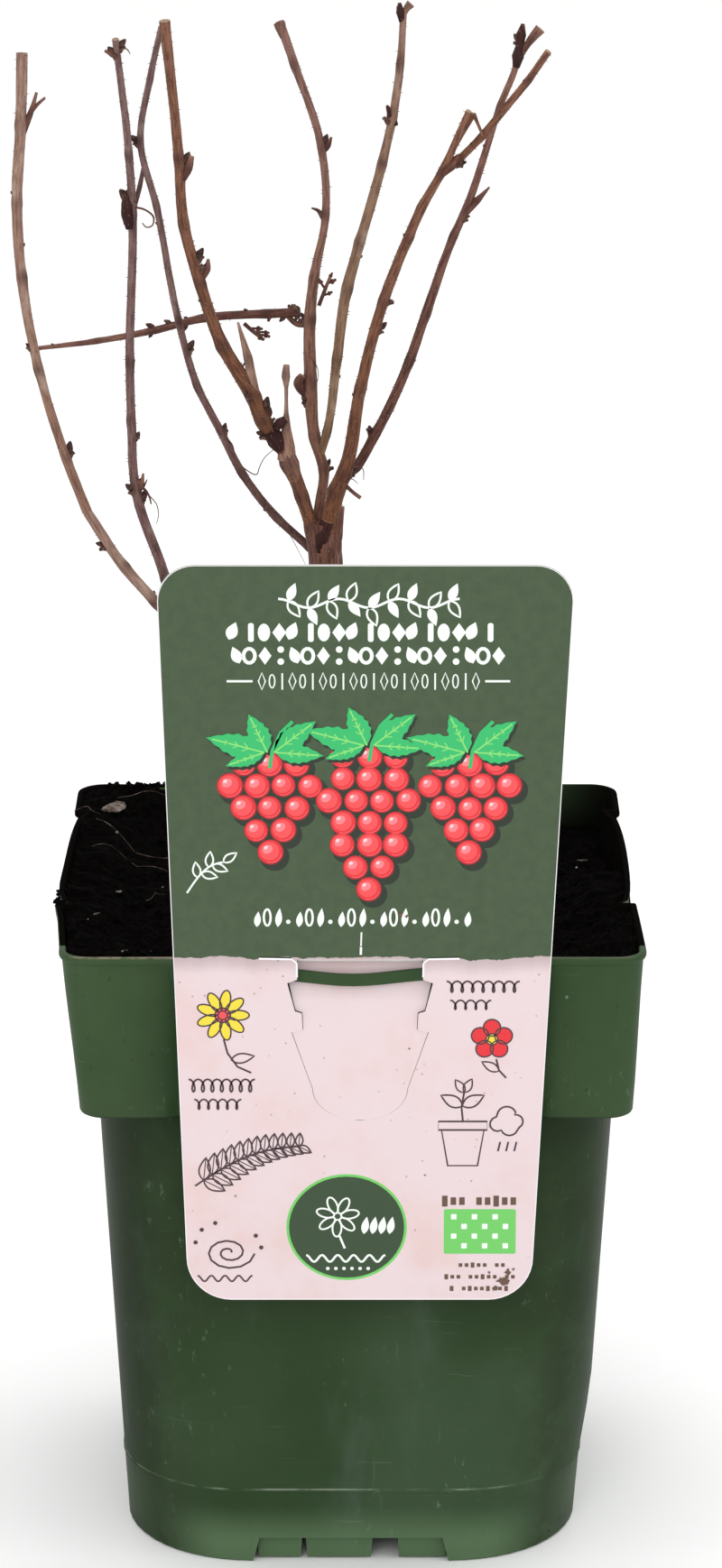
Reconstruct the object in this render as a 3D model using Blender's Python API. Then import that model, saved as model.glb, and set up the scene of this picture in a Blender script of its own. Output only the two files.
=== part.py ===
# Bare raspberry canes in a square nursery pot, with a plastic label card hooked on its rim.
# Sizes are in millimetres and become metres through MM. +X is right, +Y is back, +Z is up.
# The origin is the centre of the pot's flat underside.

import math

import bmesh
import bpy
from mathutils import Vector, noise

MM = 0.001
GAP = 0.3             # clearance between two solids that meet
LAP = 0.5             # how far joined pieces reach into each other

# Pot: a tapering body under a wider collar
POT_HEIGHT = 150.0
RIM_HALF = 65.0       # half of the outside width over the lip
COLLAR_Z = 110.6      # height of the step under the collar
COLLAR_HALF = (61.7, 64.4)
COLLAR_RADIUS = (13.0, 9.0)
BODY_HALF = (52.0, 57.2)
BODY_RADIUS = (27.0, 18.0)
PARTING_Z = 17.5
WALL = 1.0
LIP_HEIGHT = 1.8
LIP_SLOPE = 0.4
FLOOR_TOP = 8.0
FLOOR_THICK = 1.6

# Flat panels let into the collar, from and to along each side, front first, anticlockwise
PANEL_DEPTH = 2.8
PANEL_SLOPE = 0.8
PANELS = ((-44.2, 44.2), (-26.0, 43.0), (-44.2, 44.2), (-43.0, 26.0))
PANEL_SCALE = 60.3    # reach of a collar side from its middle to its corner's middle
CORNER_SHARES = (0.92, 0.95, 0.98)
FLAT_SHARES = (0.55, 0.68)

# Thin straps across the panels; the front one bows out over the label's tongue
STRAP_Z = 145.1
STRAP_HEIGHT = 2.5
STRAP_THICK = 0.8
STRAP_BOWS = (3.9, 0.9, 1.2, 0.9)
STRAP_STEPS = 10

# Underside: notches in the skirt, foot tabs behind them, a middle foot and drain holes
NOTCH_HEIGHT = 6.0
NOTCH_HALF = (22.6, 21.0)
NOTCH_REACH = (-2.4, 4.0)  # from behind the skirt to in front of it
TAB_BACK = 50.2
TAB_THICK = 1.6
TABS = ((-21.5, -11.1), (-10.5, 5.1), (10.6, 22.0))
TAB_CLEAR = 0.5       # the tabs stop this far above the ground
FOOT_RADIUS = 10.0
DRAIN_RADIUS = 4.0
DRAIN_OUT = (34.0, 41.0)  # holes on the sides and on the corners, from the middle
DRAIN_SIDES = 12

# Potting soil
SOIL_LEVEL = 141.0
SOIL_CLEAR = 0.7      # the peat has shrunk a little from the wall
SOIL_HEAP = 6.5       # rise towards the back left corner
SOIL_ROUGH = 0.9
SOIL_GRAIN = 0.09     # lumps per millimetre
SOIL_SHOULDER = 4.0   # the soil's edge lies this far below its level
SOIL_SHARES = (1.0, 0.88, 0.74, 0.58, 0.42, 0.26, 0.12)
FOOT_CLEARING = (7.0, 14.0)  # level round a cane's foot, rough beyond

# Label card: left and right edge at its top and at its foot
CARD_TOP = (-42.3, 47.9, 239.0)
CARD_FOOT = (-36.7, 39.6, 69.8)
CARD_RADIUS = (8.0, 10.0)
CARD_BACK = -68.25
CARD_THICK = 0.5
TONGUE_MIDDLE = 1.7
TONGUE_ROOT_Z = 149.6
TONGUE_TIP_Z = 111.8
# Tongue's half width down its length: neck, ears under the strap, waist, shoulders
TONGUE_OUTLINE = ((149.6, 13.4), (144.2, 13.4), (142.6, 15.6), (136.6, 14.1), (135.6, 12.5),
                  (132.3, 12.5), (131.4, 14.8), (117.4, 9.7))
TONGUE_SLIT = 0.4
TONGUE_STEPS = 6      # rows that round off its tip
TONGUE_LAP = 2.0      # its root reaches this far up into the card
# Where the tongue's middle plane runs, from its root to its tip
TONGUE_COURSE = ((149.6, -68.5), (146.9, -65.4), (143.0, -65.4), (137.0, -66.2), (111.0, -67.0))

# Canes: the buds' joints that each one runs through, foot first, and its radii along the way
STUMP = {"joints": ((-5.7, 0.0, 137.0), (-6.0, 0.0, 185.0), (-6.2, 0.0, 222.0), (-7.1, -1.0, 232.7)),
         "radii": (6.0, 3.7, 3.5, 3.4, 3.4, 4.2), "rooted": True}
FAR_LEFT_BEND = (-60.7, 10.0, 231.8)
FAR_LEFT_LOW = {"joints": ((-14.1, 3.9, 137.0), (-20.0, 5.2, 170.0), (-32.5, 6.9, 196.0),
                           (-45.3, 8.0, 211.2), (-52.3, 8.8, 219.1), FAR_LEFT_BEND),
                "radii": (1.9, 1.4, 1.25, 1.15), "end_trim": GAP / 2, "rooted": True}
FAR_LEFT_TOP = {"joints": (FAR_LEFT_BEND, (-65.5, 11.2, 244.4), (-71.4, 13.2, 264.3),
                           (-75.2, 17.4, 284.7), (-76.3, 22.0, 301.0), (-75.4, 26.6, 318.0),
                           (-75.1, 31.0, 333.8)),
                "radii": (1.15, 1.05, 1.15, 1.25, 1.35), "start_trim": GAP / 2,
                "spurs": (((-75.1, 26.6, 317.5), (-73.1, 27.0, 321.0), (-71.5, 27.5, 324.5), 0.5),
                          ((-73.1, 27.0, 321.0), (-71.1, 27.3, 322.4), (-69.9, 27.5, 323.2), 0.4))}
LEFT = {"joints": ((-28.1, -8.0, 137.0), (-36.0, -8.4, 190.0), (-42.3, -8.0, 220.7),
                   (-48.9, -7.3, 241.4), (-49.7, -6.7, 257.1), (-49.9, -6.2, 270.2),
                   (-49.0, -4.0, 303.5), (-49.4, -9.4, 317.9), (-51.6, -19.9, 345.0)),
        "radii": (1.9, 1.3, 1.15, 1.0, 0.95, 0.75), "rooted": True}
LEFT_SIDE = {"joints": ((-49.0, -4.0, 303.5), (-47.1, -3.3, 309.5), (-45.8, -2.0, 319.8)),
             "radii": (0.6, 0.45), "clear_of": ("cane_left",)}
UPPER_JOINT = (-15.4, -3.0, 249.3)
MIDDLE_LEFT_LOW = {"joints": ((-8.6, -1.8, 228.5), (-11.6, -2.5, 238.8), UPPER_JOINT),
                   "radii": (1.55, 1.5, 1.75), "clear_of": ("stump",),
                   "spurs": (((-14.9, -2.9, 248.3), (-15.0, -3.0, 258.5), (-15.0, -3.0, 268.0), 1.25),)}
MIDDLE_LEFT_TOP = {"joints": (UPPER_JOINT, (-20.3, -3.2, 256.5), (-22.5, -3.4, 261.9),
                              (-29.2, -3.8, 273.6), (-34.2, -5.1, 288.3), (-37.5, -7.1, 301.7),
                              (-38.4, -9.4, 317.2), (-41.1, -14.0, 348.1)),
                   "radii": (1.8, 1.75, 1.35, 1.25, 1.15, 1.1, 1.25),
                   "clear_of": ("cane_middle_left_low",),
                   "spurs": (((-22.1, -3.4, 262.5), (-23.6, -4.0, 271.0), (-25.7, -4.4, 279.0), 0.95),)}
THIN = {"joints": ((-6.7, 1.0, 222.6), (-10.1, 2.0, 225.7), (-17.4, 0.9, 232.9), (-25.1, -0.6, 243.6),
                   (-29.7, -2.1, 253.3), (-34.9, -3.7, 264.3), (-38.9, -6.0, 279.6),
                   (-43.6, -6.8, 305.9), (-46.9, -7.2, 320.1), (-44.7, -7.6, 334.2),
                   (-42.0, -8.0, 345.9)),
        "radii": (1.0, 0.9, 0.8, 0.75, 0.7), "clear_of": ("stump", "cane_middle_left_low")}
MIDDLE = {"joints": ((-7.7, 0.0, 228.5), (-8.0, 0.3, 231.6), (-6.7, 1.0, 244.0), (-8.7, 3.0, 251.1),
                     (-9.6, 6.7, 263.4), (-9.8, 10.8, 276.5), (-8.8, 13.7, 285.5),
                     (-6.2, 18.2, 299.1), (-7.2, 23.0, 313.7), (-13.2, 28.9, 331.4),
                     (-16.7, 32.0, 340.8)),
          "radii": (1.05, 1.2, 1.5, 1.3, 0.9, 0.9, 0.9, 1.05),
          "clear_of": ("stump", "cane_middle_left_low")}
MIDDLE_RIGHT = {"joints": ((-7.5, 1.6, 246.8), (-5.9, 1.8, 252.5), (-3.6, 3.8, 268.9),
                           (-1.4, 6.0, 284.4), (1.6, 7.4, 295.0), (6.5, 9.8, 312.2),
                           (8.9, 11.2, 322.7), (10.6, 12.7, 334.3), (11.3, 14.2, 346.0)),
                "radii": (0.9, 1.1, 1.25, 1.1, 0.95, 0.75), "clear_of": ("cane_middle",)}
RIGHT = {"joints": ((-6.0, -2.4, 229.5), (-3.2, -4.2, 240.5), (-1.7, -5.0, 244.9),
                    (1.7, -10.3, 265.3), (6.8, -15.8, 286.2), (12.2, -19.9, 301.3),
                    (15.1, -21.7, 308.2), (19.5, -24.0, 316.7), (25.1, -30.0, 331.0)),
         "radii": (1.85, 1.6, 1.3, 1.25, 1.15, 0.95, 0.65),
         "clear_of": ("stump", "cane_middle_left_low")}
RIGHT_SHOOT = {"joints": ((18.8, -23.6, 315.4), (22.8, -24.9, 319.2), (28.3, -27.0, 325.2),
                          (32.5, -29.0, 330.8), (37.8, -31.8, 337.9),
                          (42.1, -34.0, 344.6)),
               "radii": (0.8, 0.85, 0.8, 0.75), "clear_of": ("cane_right",)}
FAR_RIGHT = {"joints": ((-1.7, -5.0, 243.9), (0.6, -2.9, 245.5), (5.2, -1.0, 252.9),
                        (12.7, 2.1, 268.8), (16.4, 4.1, 279.2), (22.6, 6.9, 296.3),
                        (25.2, 7.5, 302.1), (32.9, 10.1, 325.2), (36.9, 11.3, 335.9),
                        (37.6, 12.0, 341.7)),
             "radii": (1.15, 1.1, 1.05, 0.9, 0.75, 0.7), "clear_of": ("cane_right",),
             "spurs": (((36.7, 11.2, 335.4), (39.1, 11.3, 339.2), (41.8, 11.3, 342.4), 0.75),
                       ((24.9, 7.5, 302.1), (27.9, 7.5, 304.4), (30.1, 7.5, 307.2), 0.7))}
CROSS_SHOOT = {"joints": ((-12.0, 12.0, 277.9), (-19.7, 13.1, 277.3), (-33.4, 15.0, 276.0),
                          (-45.2, 16.9, 272.7), (-58.5, 18.7, 269.8), (-71.7, 20.0, 267.9)),
               "radii": (1.05, 0.95, 0.75, 0.5), "clear_of": ("cane_middle",),
               "spurs": (((-15.1, 12.5, 277.2), (-12.7, 11.8, 275.2), (-9.8, 10.8, 275.4), 0.6),)}
CANES = {"stump": STUMP, "cane_far_left_low": FAR_LEFT_LOW, "cane_far_left_top": FAR_LEFT_TOP,
         "cane_left": LEFT, "shoot_left_side": LEFT_SIDE, "cane_middle_left_low": MIDDLE_LEFT_LOW,
         "cane_middle_left_top": MIDDLE_LEFT_TOP, "cane_thin": THIN, "cane_right": RIGHT,
         "shoot_right": RIGHT_SHOOT, "cane_far_right": FAR_RIGHT, "cane_middle": MIDDLE,
         "cane_middle_right": MIDDLE_RIGHT, "shoot_cross": CROSS_SHOOT}
GROUND = "ground level"
JOINT_SWELL = 1.1
JOINT_REACH = 2.4
RING_STEP = 13.0

# Dried fruit trusses: where each hangs on, its heading, length and number of stalks
TRUSS_CROSS = {"start": (-24.7, 13.8, 274.9), "heading": (0.75, -0.3, -0.6), "length": 5.0,
               "stalks": 4, "reach": 0.5, "seed": 3}
TRUSS_MIDDLE = {"start": (-7.75, 11.2, 279.6), "heading": (0.4, 0.1, 1.0), "length": 7.4,
                "stalks": 3, "reach": 0.22, "seed": 8}
TRUSSES = {"truss_cross": TRUSS_CROSS, "truss_middle": TRUSS_MIDDLE}
STALK_RADIUS = 0.42
STALK_TURN = 2.4      # turn from one stalk to the next, radians
STALK_LIFT = 0.7
STALK_BOW = 0.08

COLOURS = {"pot": ((0.040, 0.075, 0.034), 0.5), "soil": ((0.010, 0.008, 0.007), 0.95),
           "card": ((0.30, 0.32, 0.24), 0.4), "cane": ((0.17, 0.10, 0.065), 0.7),
           "dry": ((0.16, 0.11, 0.08), 0.9)}

planned = []


def new_collection(name, parent):
    collection = bpy.data.collections.new(name)
    parent.children.link(collection)
    return collection


def principled(name):
    colour, roughness = COLOURS[name]
    material = bpy.data.materials.new(name)
    material.use_nodes = True
    shader = material.node_tree.nodes["Principled BSDF"]
    shader.inputs["Base Color"].default_value = (*colour, 1.0)
    shader.inputs["Roughness"].default_value = roughness
    shader.inputs["Metallic"].default_value = 0.0
    return material


def mesh_object(name, mesh, collection, material=None):
    body = bpy.data.objects.new(name, mesh)
    collection.objects.link(body)
    if material:
        mesh.materials.append(material)
    else:
        body.hide_render = True
        body.display_type = "WIRE"
    return body


def boolean(body, operation, helpers):
    # Planned here and added last, so that no mesh is worked out twice on the way
    planned.append((body, operation, helpers))


def add_booleans():
    for body, operation, helpers in planned:
        step = body.modifiers.new(operation.lower(), "BOOLEAN")
        step.operation = operation
        step.solver = "EXACT"
        step.operand_type = "COLLECTION"
        step.collection = helpers


# Rounded square outlines

def mix(pair, share):
    return pair[0] + (pair[1] - pair[0]) * share


def corner_reach(half, radius):
    return half - radius + radius * math.sqrt(0.5)


def columns(low, high, inset):
    # Places along one side as a share of its reach plus a length, and whether the panel lies there
    places = [(0.0, low - PANEL_SLOPE - inset, False), (0.0, low + PANEL_SLOPE - inset, True),
              (0.0, high - PANEL_SLOPE + inset, True), (0.0, high + PANEL_SLOPE + inset, False)]
    for share in FLAT_SHARES:
        places.append((-share, 0.0, low < -share * PANEL_SCALE < high))
        places.append((share, 0.0, low < share * PANEL_SCALE < high))
    for share in CORNER_SHARES:
        places.append((-share, 0.0, False))
        places.append((share, 0.0, False))
    places.append((-1.0, 0.0, False))
    return sorted(places, key=lambda place: place[0] * PANEL_SCALE + place[1])


def ring(z, half, radius, depth=0.0, inset=0.0, squeeze=1.0):
    half -= inset
    radius -= inset
    flat = half - radius
    reach = corner_reach(half, radius)
    points = []
    for side, (low, high) in enumerate(PANELS):
        for share, length, sunk in columns(low, high, inset):
            along = share * reach + length * squeeze
            over = max(abs(along) - flat, 0.0)
            out = flat + math.sqrt(radius ** 2 - over ** 2) - (depth if sunk else 0.0)
            point = Vector((along, -out, z))
            for _ in range(side):
                point = Vector((-point.y, point.x, point.z))
            points.append(point)
    return points


def body_ring(z, inset=0.0):
    share = min(z / COLLAR_Z, 1.0)
    half = mix(BODY_HALF, share)
    radius = mix(BODY_RADIUS, share)
    squeeze = corner_reach(half, radius) / corner_reach(BODY_HALF[1], BODY_RADIUS[1])
    return ring(z, half, radius, 0.0, inset, squeeze)


def collar_ring(z, inset=0.0):
    share = (z - COLLAR_Z) / (POT_HEIGHT - COLLAR_Z)
    return ring(z, mix(COLLAR_HALF, share), mix(COLLAR_RADIUS, share), PANEL_DEPTH, inset)


def lip_ring(z):
    return ring(z, RIM_HALF, COLLAR_RADIUS[1], PANEL_DEPTH)


def loft(rings, hollow=False):
    # Skin the rings, which run anticlockwise and upwards, so the faces point out. A hollow
    # loft comes back down on the inside and joins its last ring to its first.
    shape = bmesh.new()
    rows = [[shape.verts.new(point * MM) for point in points] for points in rings]
    following = rows[1:] + rows[:1] if hollow else rows[1:]
    for lower, upper in zip(rows, following):
        for i in range(len(lower)):
            j = (i + 1) % len(lower)
            shape.faces.new((lower[i], lower[j], upper[j], upper[i]))
    if not hollow:
        shape.faces.new(list(reversed(rows[0])))
        shape.faces.new(rows[-1])
    mesh = bpy.data.meshes.new("loft")
    shape.to_mesh(mesh)
    shape.free()
    return mesh


def box_mesh(low, high):
    shape = bmesh.new()
    bmesh.ops.create_cube(shape, size=1.0)
    for vert in shape.verts:
        vert.co = Vector([mix((low[i], high[i]), vert.co[i] + 0.5) * MM for i in range(3)])
    mesh = bpy.data.meshes.new("box")
    shape.to_mesh(mesh)
    shape.free()
    return mesh


def cylinder_mesh(radius, bottom, top, centre=(0.0, 0.0), sides=20):
    shape = bmesh.new()
    bmesh.ops.create_cone(shape, cap_ends=True, segments=sides, radius1=radius * MM,
                          radius2=radius * MM, depth=(top - bottom) * MM)
    place = Vector((centre[0], centre[1], (bottom + top) / 2)) * MM
    bmesh.ops.translate(shape, verts=shape.verts, vec=place)
    mesh = bpy.data.meshes.new("cylinder")
    shape.to_mesh(mesh)
    shape.free()
    return mesh


# Pot

def strap_mesh(low, high, bow):
    # A thin bar that is held in the ends of a panel and bows out between them
    base = mix(COLLAR_HALF, (STRAP_Z - COLLAR_Z) / (POT_HEIGHT - COLLAR_Z)) - WALL / 2
    start = low - PANEL_SLOPE - LAP
    end = high + PANEL_SLOPE + LAP
    rings = []
    for i in range(STRAP_STEPS + 1):
        share = i / STRAP_STEPS
        out = base + bow * math.sin(math.pi * share) ** 2
        along = mix((start, end), share)
        rings.append([Vector((along, -out + side * STRAP_THICK / 2, STRAP_Z + rise * STRAP_HEIGHT / 2))
                      for side, rise in ((-1, -1), (1, -1), (1, 1), (-1, 1))])
    return loft(rings)


def notch_mesh():
    corners = ((-NOTCH_HALF[0], -1.0), (NOTCH_HALF[0], -1.0), (NOTCH_HALF[1], NOTCH_HEIGHT),
               (-NOTCH_HALF[1], NOTCH_HEIGHT))
    rings = [[Vector((x, -BODY_HALF[0] - out, z)) for x, z in corners] for out in NOTCH_REACH]
    return loft(rings)


def turned(body, side):
    body.rotation_euler = (0.0, 0.0, side * math.pi / 2)
    return body


def make_pot(parts, cutters, material):
    lip_z = POT_HEIGHT - LIP_HEIGHT
    ledge = COLLAR_Z + WALL
    rows = [body_ring(z) for z in (0.0, PARTING_Z, COLLAR_Z / 2, COLLAR_Z)]
    rows += [collar_ring(z) for z in (COLLAR_Z, lip_z)]
    rows += [lip_ring(z) for z in (lip_z + LIP_SLOPE, POT_HEIGHT)]
    rows += [collar_ring(z, WALL) for z in (POT_HEIGHT, ledge)]
    rows += [body_ring(z, WALL) for z in (ledge, COLLAR_Z / 2, PARTING_Z, 0.0)]
    pot = mesh_object("pot", loft(rows, hollow=True), parts, material)

    added = new_collection("pot additions", cutters)
    taken = new_collection("pot openings", cutters)
    floor_bottom = FLOOR_TOP - FLOOR_THICK
    plate = [body_ring(z, WALL / 2) for z in (floor_bottom, FLOOR_TOP)]
    mesh_object("floor plate", loft(plate), added)
    mesh_object("middle foot", cylinder_mesh(FOOT_RADIUS, 0.0, floor_bottom + LAP), added)
    for side, ((low, high), bow) in enumerate(zip(PANELS, STRAP_BOWS)):
        turned(mesh_object("strap", strap_mesh(low, high, bow), added), side)
        turned(mesh_object("notch", notch_mesh(), taken), side)
        for start, end in TABS:
            tab = box_mesh((start, -TAB_BACK, TAB_CLEAR), (end, -TAB_BACK + TAB_THICK, floor_bottom + LAP))
            turned(mesh_object("foot tab", tab, added), side)
        for i, out in enumerate(DRAIN_OUT):
            angle = side * math.pi / 2 + i * math.pi / 4
            centre = (out * math.cos(angle), out * math.sin(angle))
            hole = cylinder_mesh(DRAIN_RADIUS, floor_bottom - LAP, FLOOR_TOP + LAP, centre, DRAIN_SIDES)
            mesh_object("drain hole", hole, taken)
    boolean(pot, "UNION", added)
    boolean(pot, "DIFFERENCE", taken)
    return pot


# Soil

def eased(distance, bounds):
    # From 0 at the first bound to 1 at the second, without a kink
    share = min(max((distance - bounds[0]) / (bounds[1] - bounds[0]), 0.0), 1.0)
    return share * share * (3 - 2 * share)


def soil_height(x, y):
    # Level round the canes' feet, rough elsewhere, heaped towards the back left corner
    corner = max((y - x) / (2 * RIM_HALF), 0.0)
    rough = noise.noise(Vector((x, y, 0.0)) * SOIL_GRAIN) * SOIL_ROUGH
    rise = SOIL_HEAP * corner ** 2 + rough
    clear = 1.0
    for cane in (STUMP, FAR_LEFT_LOW, LEFT):
        foot = cane["joints"][0]
        distance = math.hypot(x - foot[0], y - foot[1])
        clear = min(clear, eased(distance, FOOT_CLEARING))
    return SOIL_LEVEL + rise * clear


def make_soil(parts, material):
    inset = WALL + SOIL_CLEAR
    ledge = COLLAR_Z + WALL + SOIL_CLEAR
    rows = [body_ring(z, inset) for z in (FLOOR_TOP + GAP, PARTING_Z, COLLAR_Z / 2, ledge)]
    rows.append(collar_ring(ledge, inset))
    edge = collar_ring(SOIL_LEVEL - SOIL_SHOULDER, inset)
    rows.append(edge)
    for share in SOIL_SHARES:
        spread = [(point.x * share, point.y * share) for point in edge]
        rows.append([Vector((x, y, soil_height(x, y))) for x, y in spread])
    return mesh_object("soil", loft(rows), parts, material)


# Label card

def card_edge(z):
    share = (z - CARD_FOOT[2]) / (CARD_TOP[2] - CARD_FOOT[2])
    return mix((CARD_FOOT[0], CARD_TOP[0]), share), mix((CARD_FOOT[1], CARD_TOP[1]), share)


def arc(centre, radius, start, end, steps=6):
    angles = [math.radians(mix((start, end), i / steps)) for i in range(steps + 1)]
    return [(centre[0] + radius * math.cos(a), centre[1] + radius * math.sin(a)) for a in angles]


def card_outline():
    upper, lower = CARD_RADIUS
    outline = []
    for z, radius, start in ((CARD_FOOT[2], lower, 180), (CARD_FOOT[2], lower, 270),
                             (CARD_TOP[2], upper, 0), (CARD_TOP[2], upper, 90)):
        inner_z = z + radius if start >= 180 else z - radius
        left, right = card_edge(inner_z)
        x = right - radius if start in (270, 0) else left + radius
        outline += arc((x, inner_z), radius, start, start + 90)
    return outline


def tongue_half(z):
    for (upper_z, upper), (lower_z, lower) in zip(TONGUE_OUTLINE, TONGUE_OUTLINE[1:]):
        if z >= lower_z:
            return mix((lower, upper), (z - lower_z) / (upper_z - lower_z))
    last_z, last = TONGUE_OUTLINE[-1]
    drop = min((last_z - z) / (last_z - TONGUE_TIP_Z), 1.0)
    return last * math.sqrt(max(1.0 - drop ** 2, 0.0))


def tip_rows():
    # Heights that round off the tongue's tip
    turns = [i / TONGUE_STEPS * math.pi / 2 for i in range(1, TONGUE_STEPS)]
    return [mix((TONGUE_OUTLINE[-1][0], TONGUE_TIP_Z), math.sin(turn)) for turn in turns]


def window_outline():
    left = []
    right = []
    for z in [z for z, _ in TONGUE_OUTLINE] + tip_rows():
        half = tongue_half(z) + TONGUE_SLIT
        left.append((TONGUE_MIDDLE - half, z))
        right.append((TONGUE_MIDDLE + half, z))
    return left + [(TONGUE_MIDDLE, TONGUE_TIP_Z - TONGUE_SLIT)] + list(reversed(right))


def flat_mesh(name, outlines, thickness):
    # A filled outline in X and Z, made solid along Y
    curve = bpy.data.curves.new(name, "CURVE")
    curve.dimensions = "2D"
    curve.fill_mode = "BOTH"
    curve.extrude = thickness * MM / 2
    for outline in outlines:
        spline = curve.splines.new("POLY")
        spline.points.add(len(outline) - 1)
        for point, (x, z) in zip(spline.points, outline):
            point.co = (x * MM, z * MM, 0.0, 1.0)
        spline.use_cyclic_u = True
    return curve_to_mesh(curve)


def curve_to_mesh(curve):
    body = bpy.data.objects.new("curve", curve)
    bpy.context.scene.collection.objects.link(body)
    bpy.context.view_layer.update()
    evaluated = body.evaluated_get(bpy.context.evaluated_depsgraph_get())
    mesh = bpy.data.meshes.new_from_object(evaluated)
    shape = bmesh.new()
    shape.from_mesh(mesh)
    bmesh.ops.remove_doubles(shape, verts=shape.verts, dist=1e-7)
    bmesh.ops.recalc_face_normals(shape, faces=shape.faces)
    shape.to_mesh(mesh)
    shape.free()
    bpy.data.objects.remove(body)
    bpy.data.curves.remove(curve)
    return mesh


def tongue_mesh():
    # The tongue bends back behind the strap and comes forward again below it
    rows = {z for z, _ in TONGUE_OUTLINE + TONGUE_COURSE if z > TONGUE_TIP_Z}
    rings = []
    for z in sorted(rows.union(tip_rows(), (TONGUE_ROOT_Z + TONGUE_LAP,))):
        y = tongue_y(z)
        half = tongue_half(min(z, TONGUE_ROOT_Z))
        rings.append([Vector((TONGUE_MIDDLE + side * half, y + face * CARD_THICK / 2, z))
                      for side, face in ((-1, -1), (1, -1), (1, 1), (-1, 1))])
    return loft(rings)


def tongue_y(z):
    for (upper_z, upper), (lower_z, lower) in zip(TONGUE_COURSE, TONGUE_COURSE[1:]):
        if z >= lower_z:
            return mix((lower, upper), min((z - lower_z) / (upper_z - lower_z), 1.0))
    return TONGUE_COURSE[-1][1]


def make_card(parts, cutters, material):
    plate = flat_mesh("label card", (card_outline(), window_outline()), CARD_THICK)
    card = mesh_object("label_card", plate, parts, material)
    card.rotation_euler = (math.pi / 2, 0.0, 0.0)
    card.location = (0.0, (CARD_BACK - CARD_THICK / 2) * MM, 0.0)
    added = new_collection("tongue of the card", cutters)
    mesh_object("tongue", tongue_mesh(), added)
    boolean(card, "UNION", added)
    return card


# Canes

def smooth_path(joints):
    # A curve through the joints, sampled closely beside each joint and widely between them
    knots = [Vector(joint) for joint in joints]
    spans = [(b - a).length for a, b in zip(knots, knots[1:])]
    slopes = [(b - a) / span for a, b, span in zip(knots, knots[1:], spans)]
    tangents = [slopes[0]]
    for i in range(1, len(spans)):
        weight = spans[i - 1] / (spans[i - 1] + spans[i])
        tangents.append(slopes[i - 1].lerp(slopes[i], weight))
    tangents.append(slopes[-1])
    path = []
    for i, span in enumerate(spans):
        beside = min(JOINT_REACH / span, 0.33)
        between = max(1, round((span - 2 * JOINT_REACH) / RING_STEP))
        shares = [0.0] + [mix((beside, 1 - beside), k / between) for k in range(between + 1)]
        for share in shares:
            path.append((hermite(knots[i], knots[i + 1], tangents[i] * span,
                                 tangents[i + 1] * span, share), share == 0.0 and i > 0))
    path.append((knots[-1], False))
    return path


def hermite(a, b, leave, arrive, s):
    return (a * (2 * s ** 3 - 3 * s ** 2 + 1) + leave * (s ** 3 - 2 * s ** 2 + s)
            + b * (3 * s ** 2 - 2 * s ** 3) + arrive * (s ** 3 - s ** 2))


def spread_radius(radii, share):
    place = share * (len(radii) - 1)
    i = min(int(place), len(radii) - 2)
    return mix((radii[i], radii[i + 1]), place - i)


def tube_mesh(name, path, radii, grown=0.0, sides=2):
    # A tapering tube whose joints are a little swollen; grown makes it fatter and longer
    points = [point for point, _ in path]
    if grown:
        points[0] = points[0] + (points[0] - points[1]).normalized() * grown
        points[-1] = points[-1] + (points[-1] - points[-2]).normalized() * grown
    walked = [0.0]
    for a, b in zip(points, points[1:]):
        walked.append(walked[-1] + (b - a).length)
    curve = bpy.data.curves.new(name, "CURVE")
    curve.dimensions = "3D"
    curve.bevel_depth = MM
    curve.bevel_resolution = sides
    curve.use_fill_caps = True
    spline = curve.splines.new("POLY")
    spline.points.add(len(points) - 1)
    for i, (point, (_, joint)) in enumerate(zip(points, path)):
        radius = spread_radius(radii, walked[i] / walked[-1]) * (JOINT_SWELL if joint else 1.0)
        spline.points[i].co = (*(point * MM), 1.0)
        spline.points[i].radius = radius + grown
    return curve_to_mesh(curve)


def trimmed(path, start, end):
    points = [point for point, _ in path]
    points[0] = points[0] + (points[1] - points[0]).normalized() * start
    points[-1] = points[-1] + (points[-2] - points[-1]).normalized() * end
    return [(point, joint) for point, (_, joint) in zip(points, path)]


def spur_path(spur):
    return [(Vector(point), False) for point in spur[:3]]


def spur_radii(spur):
    return (spur[3], spur[3] * 0.85, spur[3] * 0.55)


def make_cane(name, cane, parts, cutters, clearances, material):
    path = smooth_path(cane["joints"])
    path = trimmed(path, cane.get("start_trim", 0.0), cane.get("end_trim", 0.0))
    body = mesh_object(name, tube_mesh(name, path, cane["radii"]), parts, material)
    room = new_collection("room round " + name, cutters)
    mesh_object(name + " room", tube_mesh(name, path, cane["radii"], GAP), room)
    spurs = cane.get("spurs", ())
    if spurs:
        added = new_collection("spurs on " + name, cutters)
        for spur in spurs:
            path = spur_path(spur)
            mesh_object(name + " spur", tube_mesh(name, path, spur_radii(spur), 0.0, 1), added)
            mesh_object(name + " spur room", tube_mesh(name, path, spur_radii(spur), GAP, 1), room)
        boolean(body, "UNION", added)
    clearances[name] = room
    rooted = (GROUND,) if cane.get("rooted") else ()
    for other in cane.get("clear_of", ()) + rooted:
        boolean(body, "DIFFERENCE", clearances[other])
    return body


def make_ground(cutters):
    # The soil's place, which cuts the feet of the rooted canes off level
    ground = new_collection(GROUND, cutters)
    low = (-BODY_HALF[0], -BODY_HALF[0], COLLAR_Z)
    high = (BODY_HALF[0], BODY_HALF[0], SOIL_LEVEL + GAP)
    mesh_object("ground cut", box_mesh(low, high), ground)
    return ground


# Dried trusses: a stalk with shorter stalks that branch off it by a seeded rule

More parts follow.
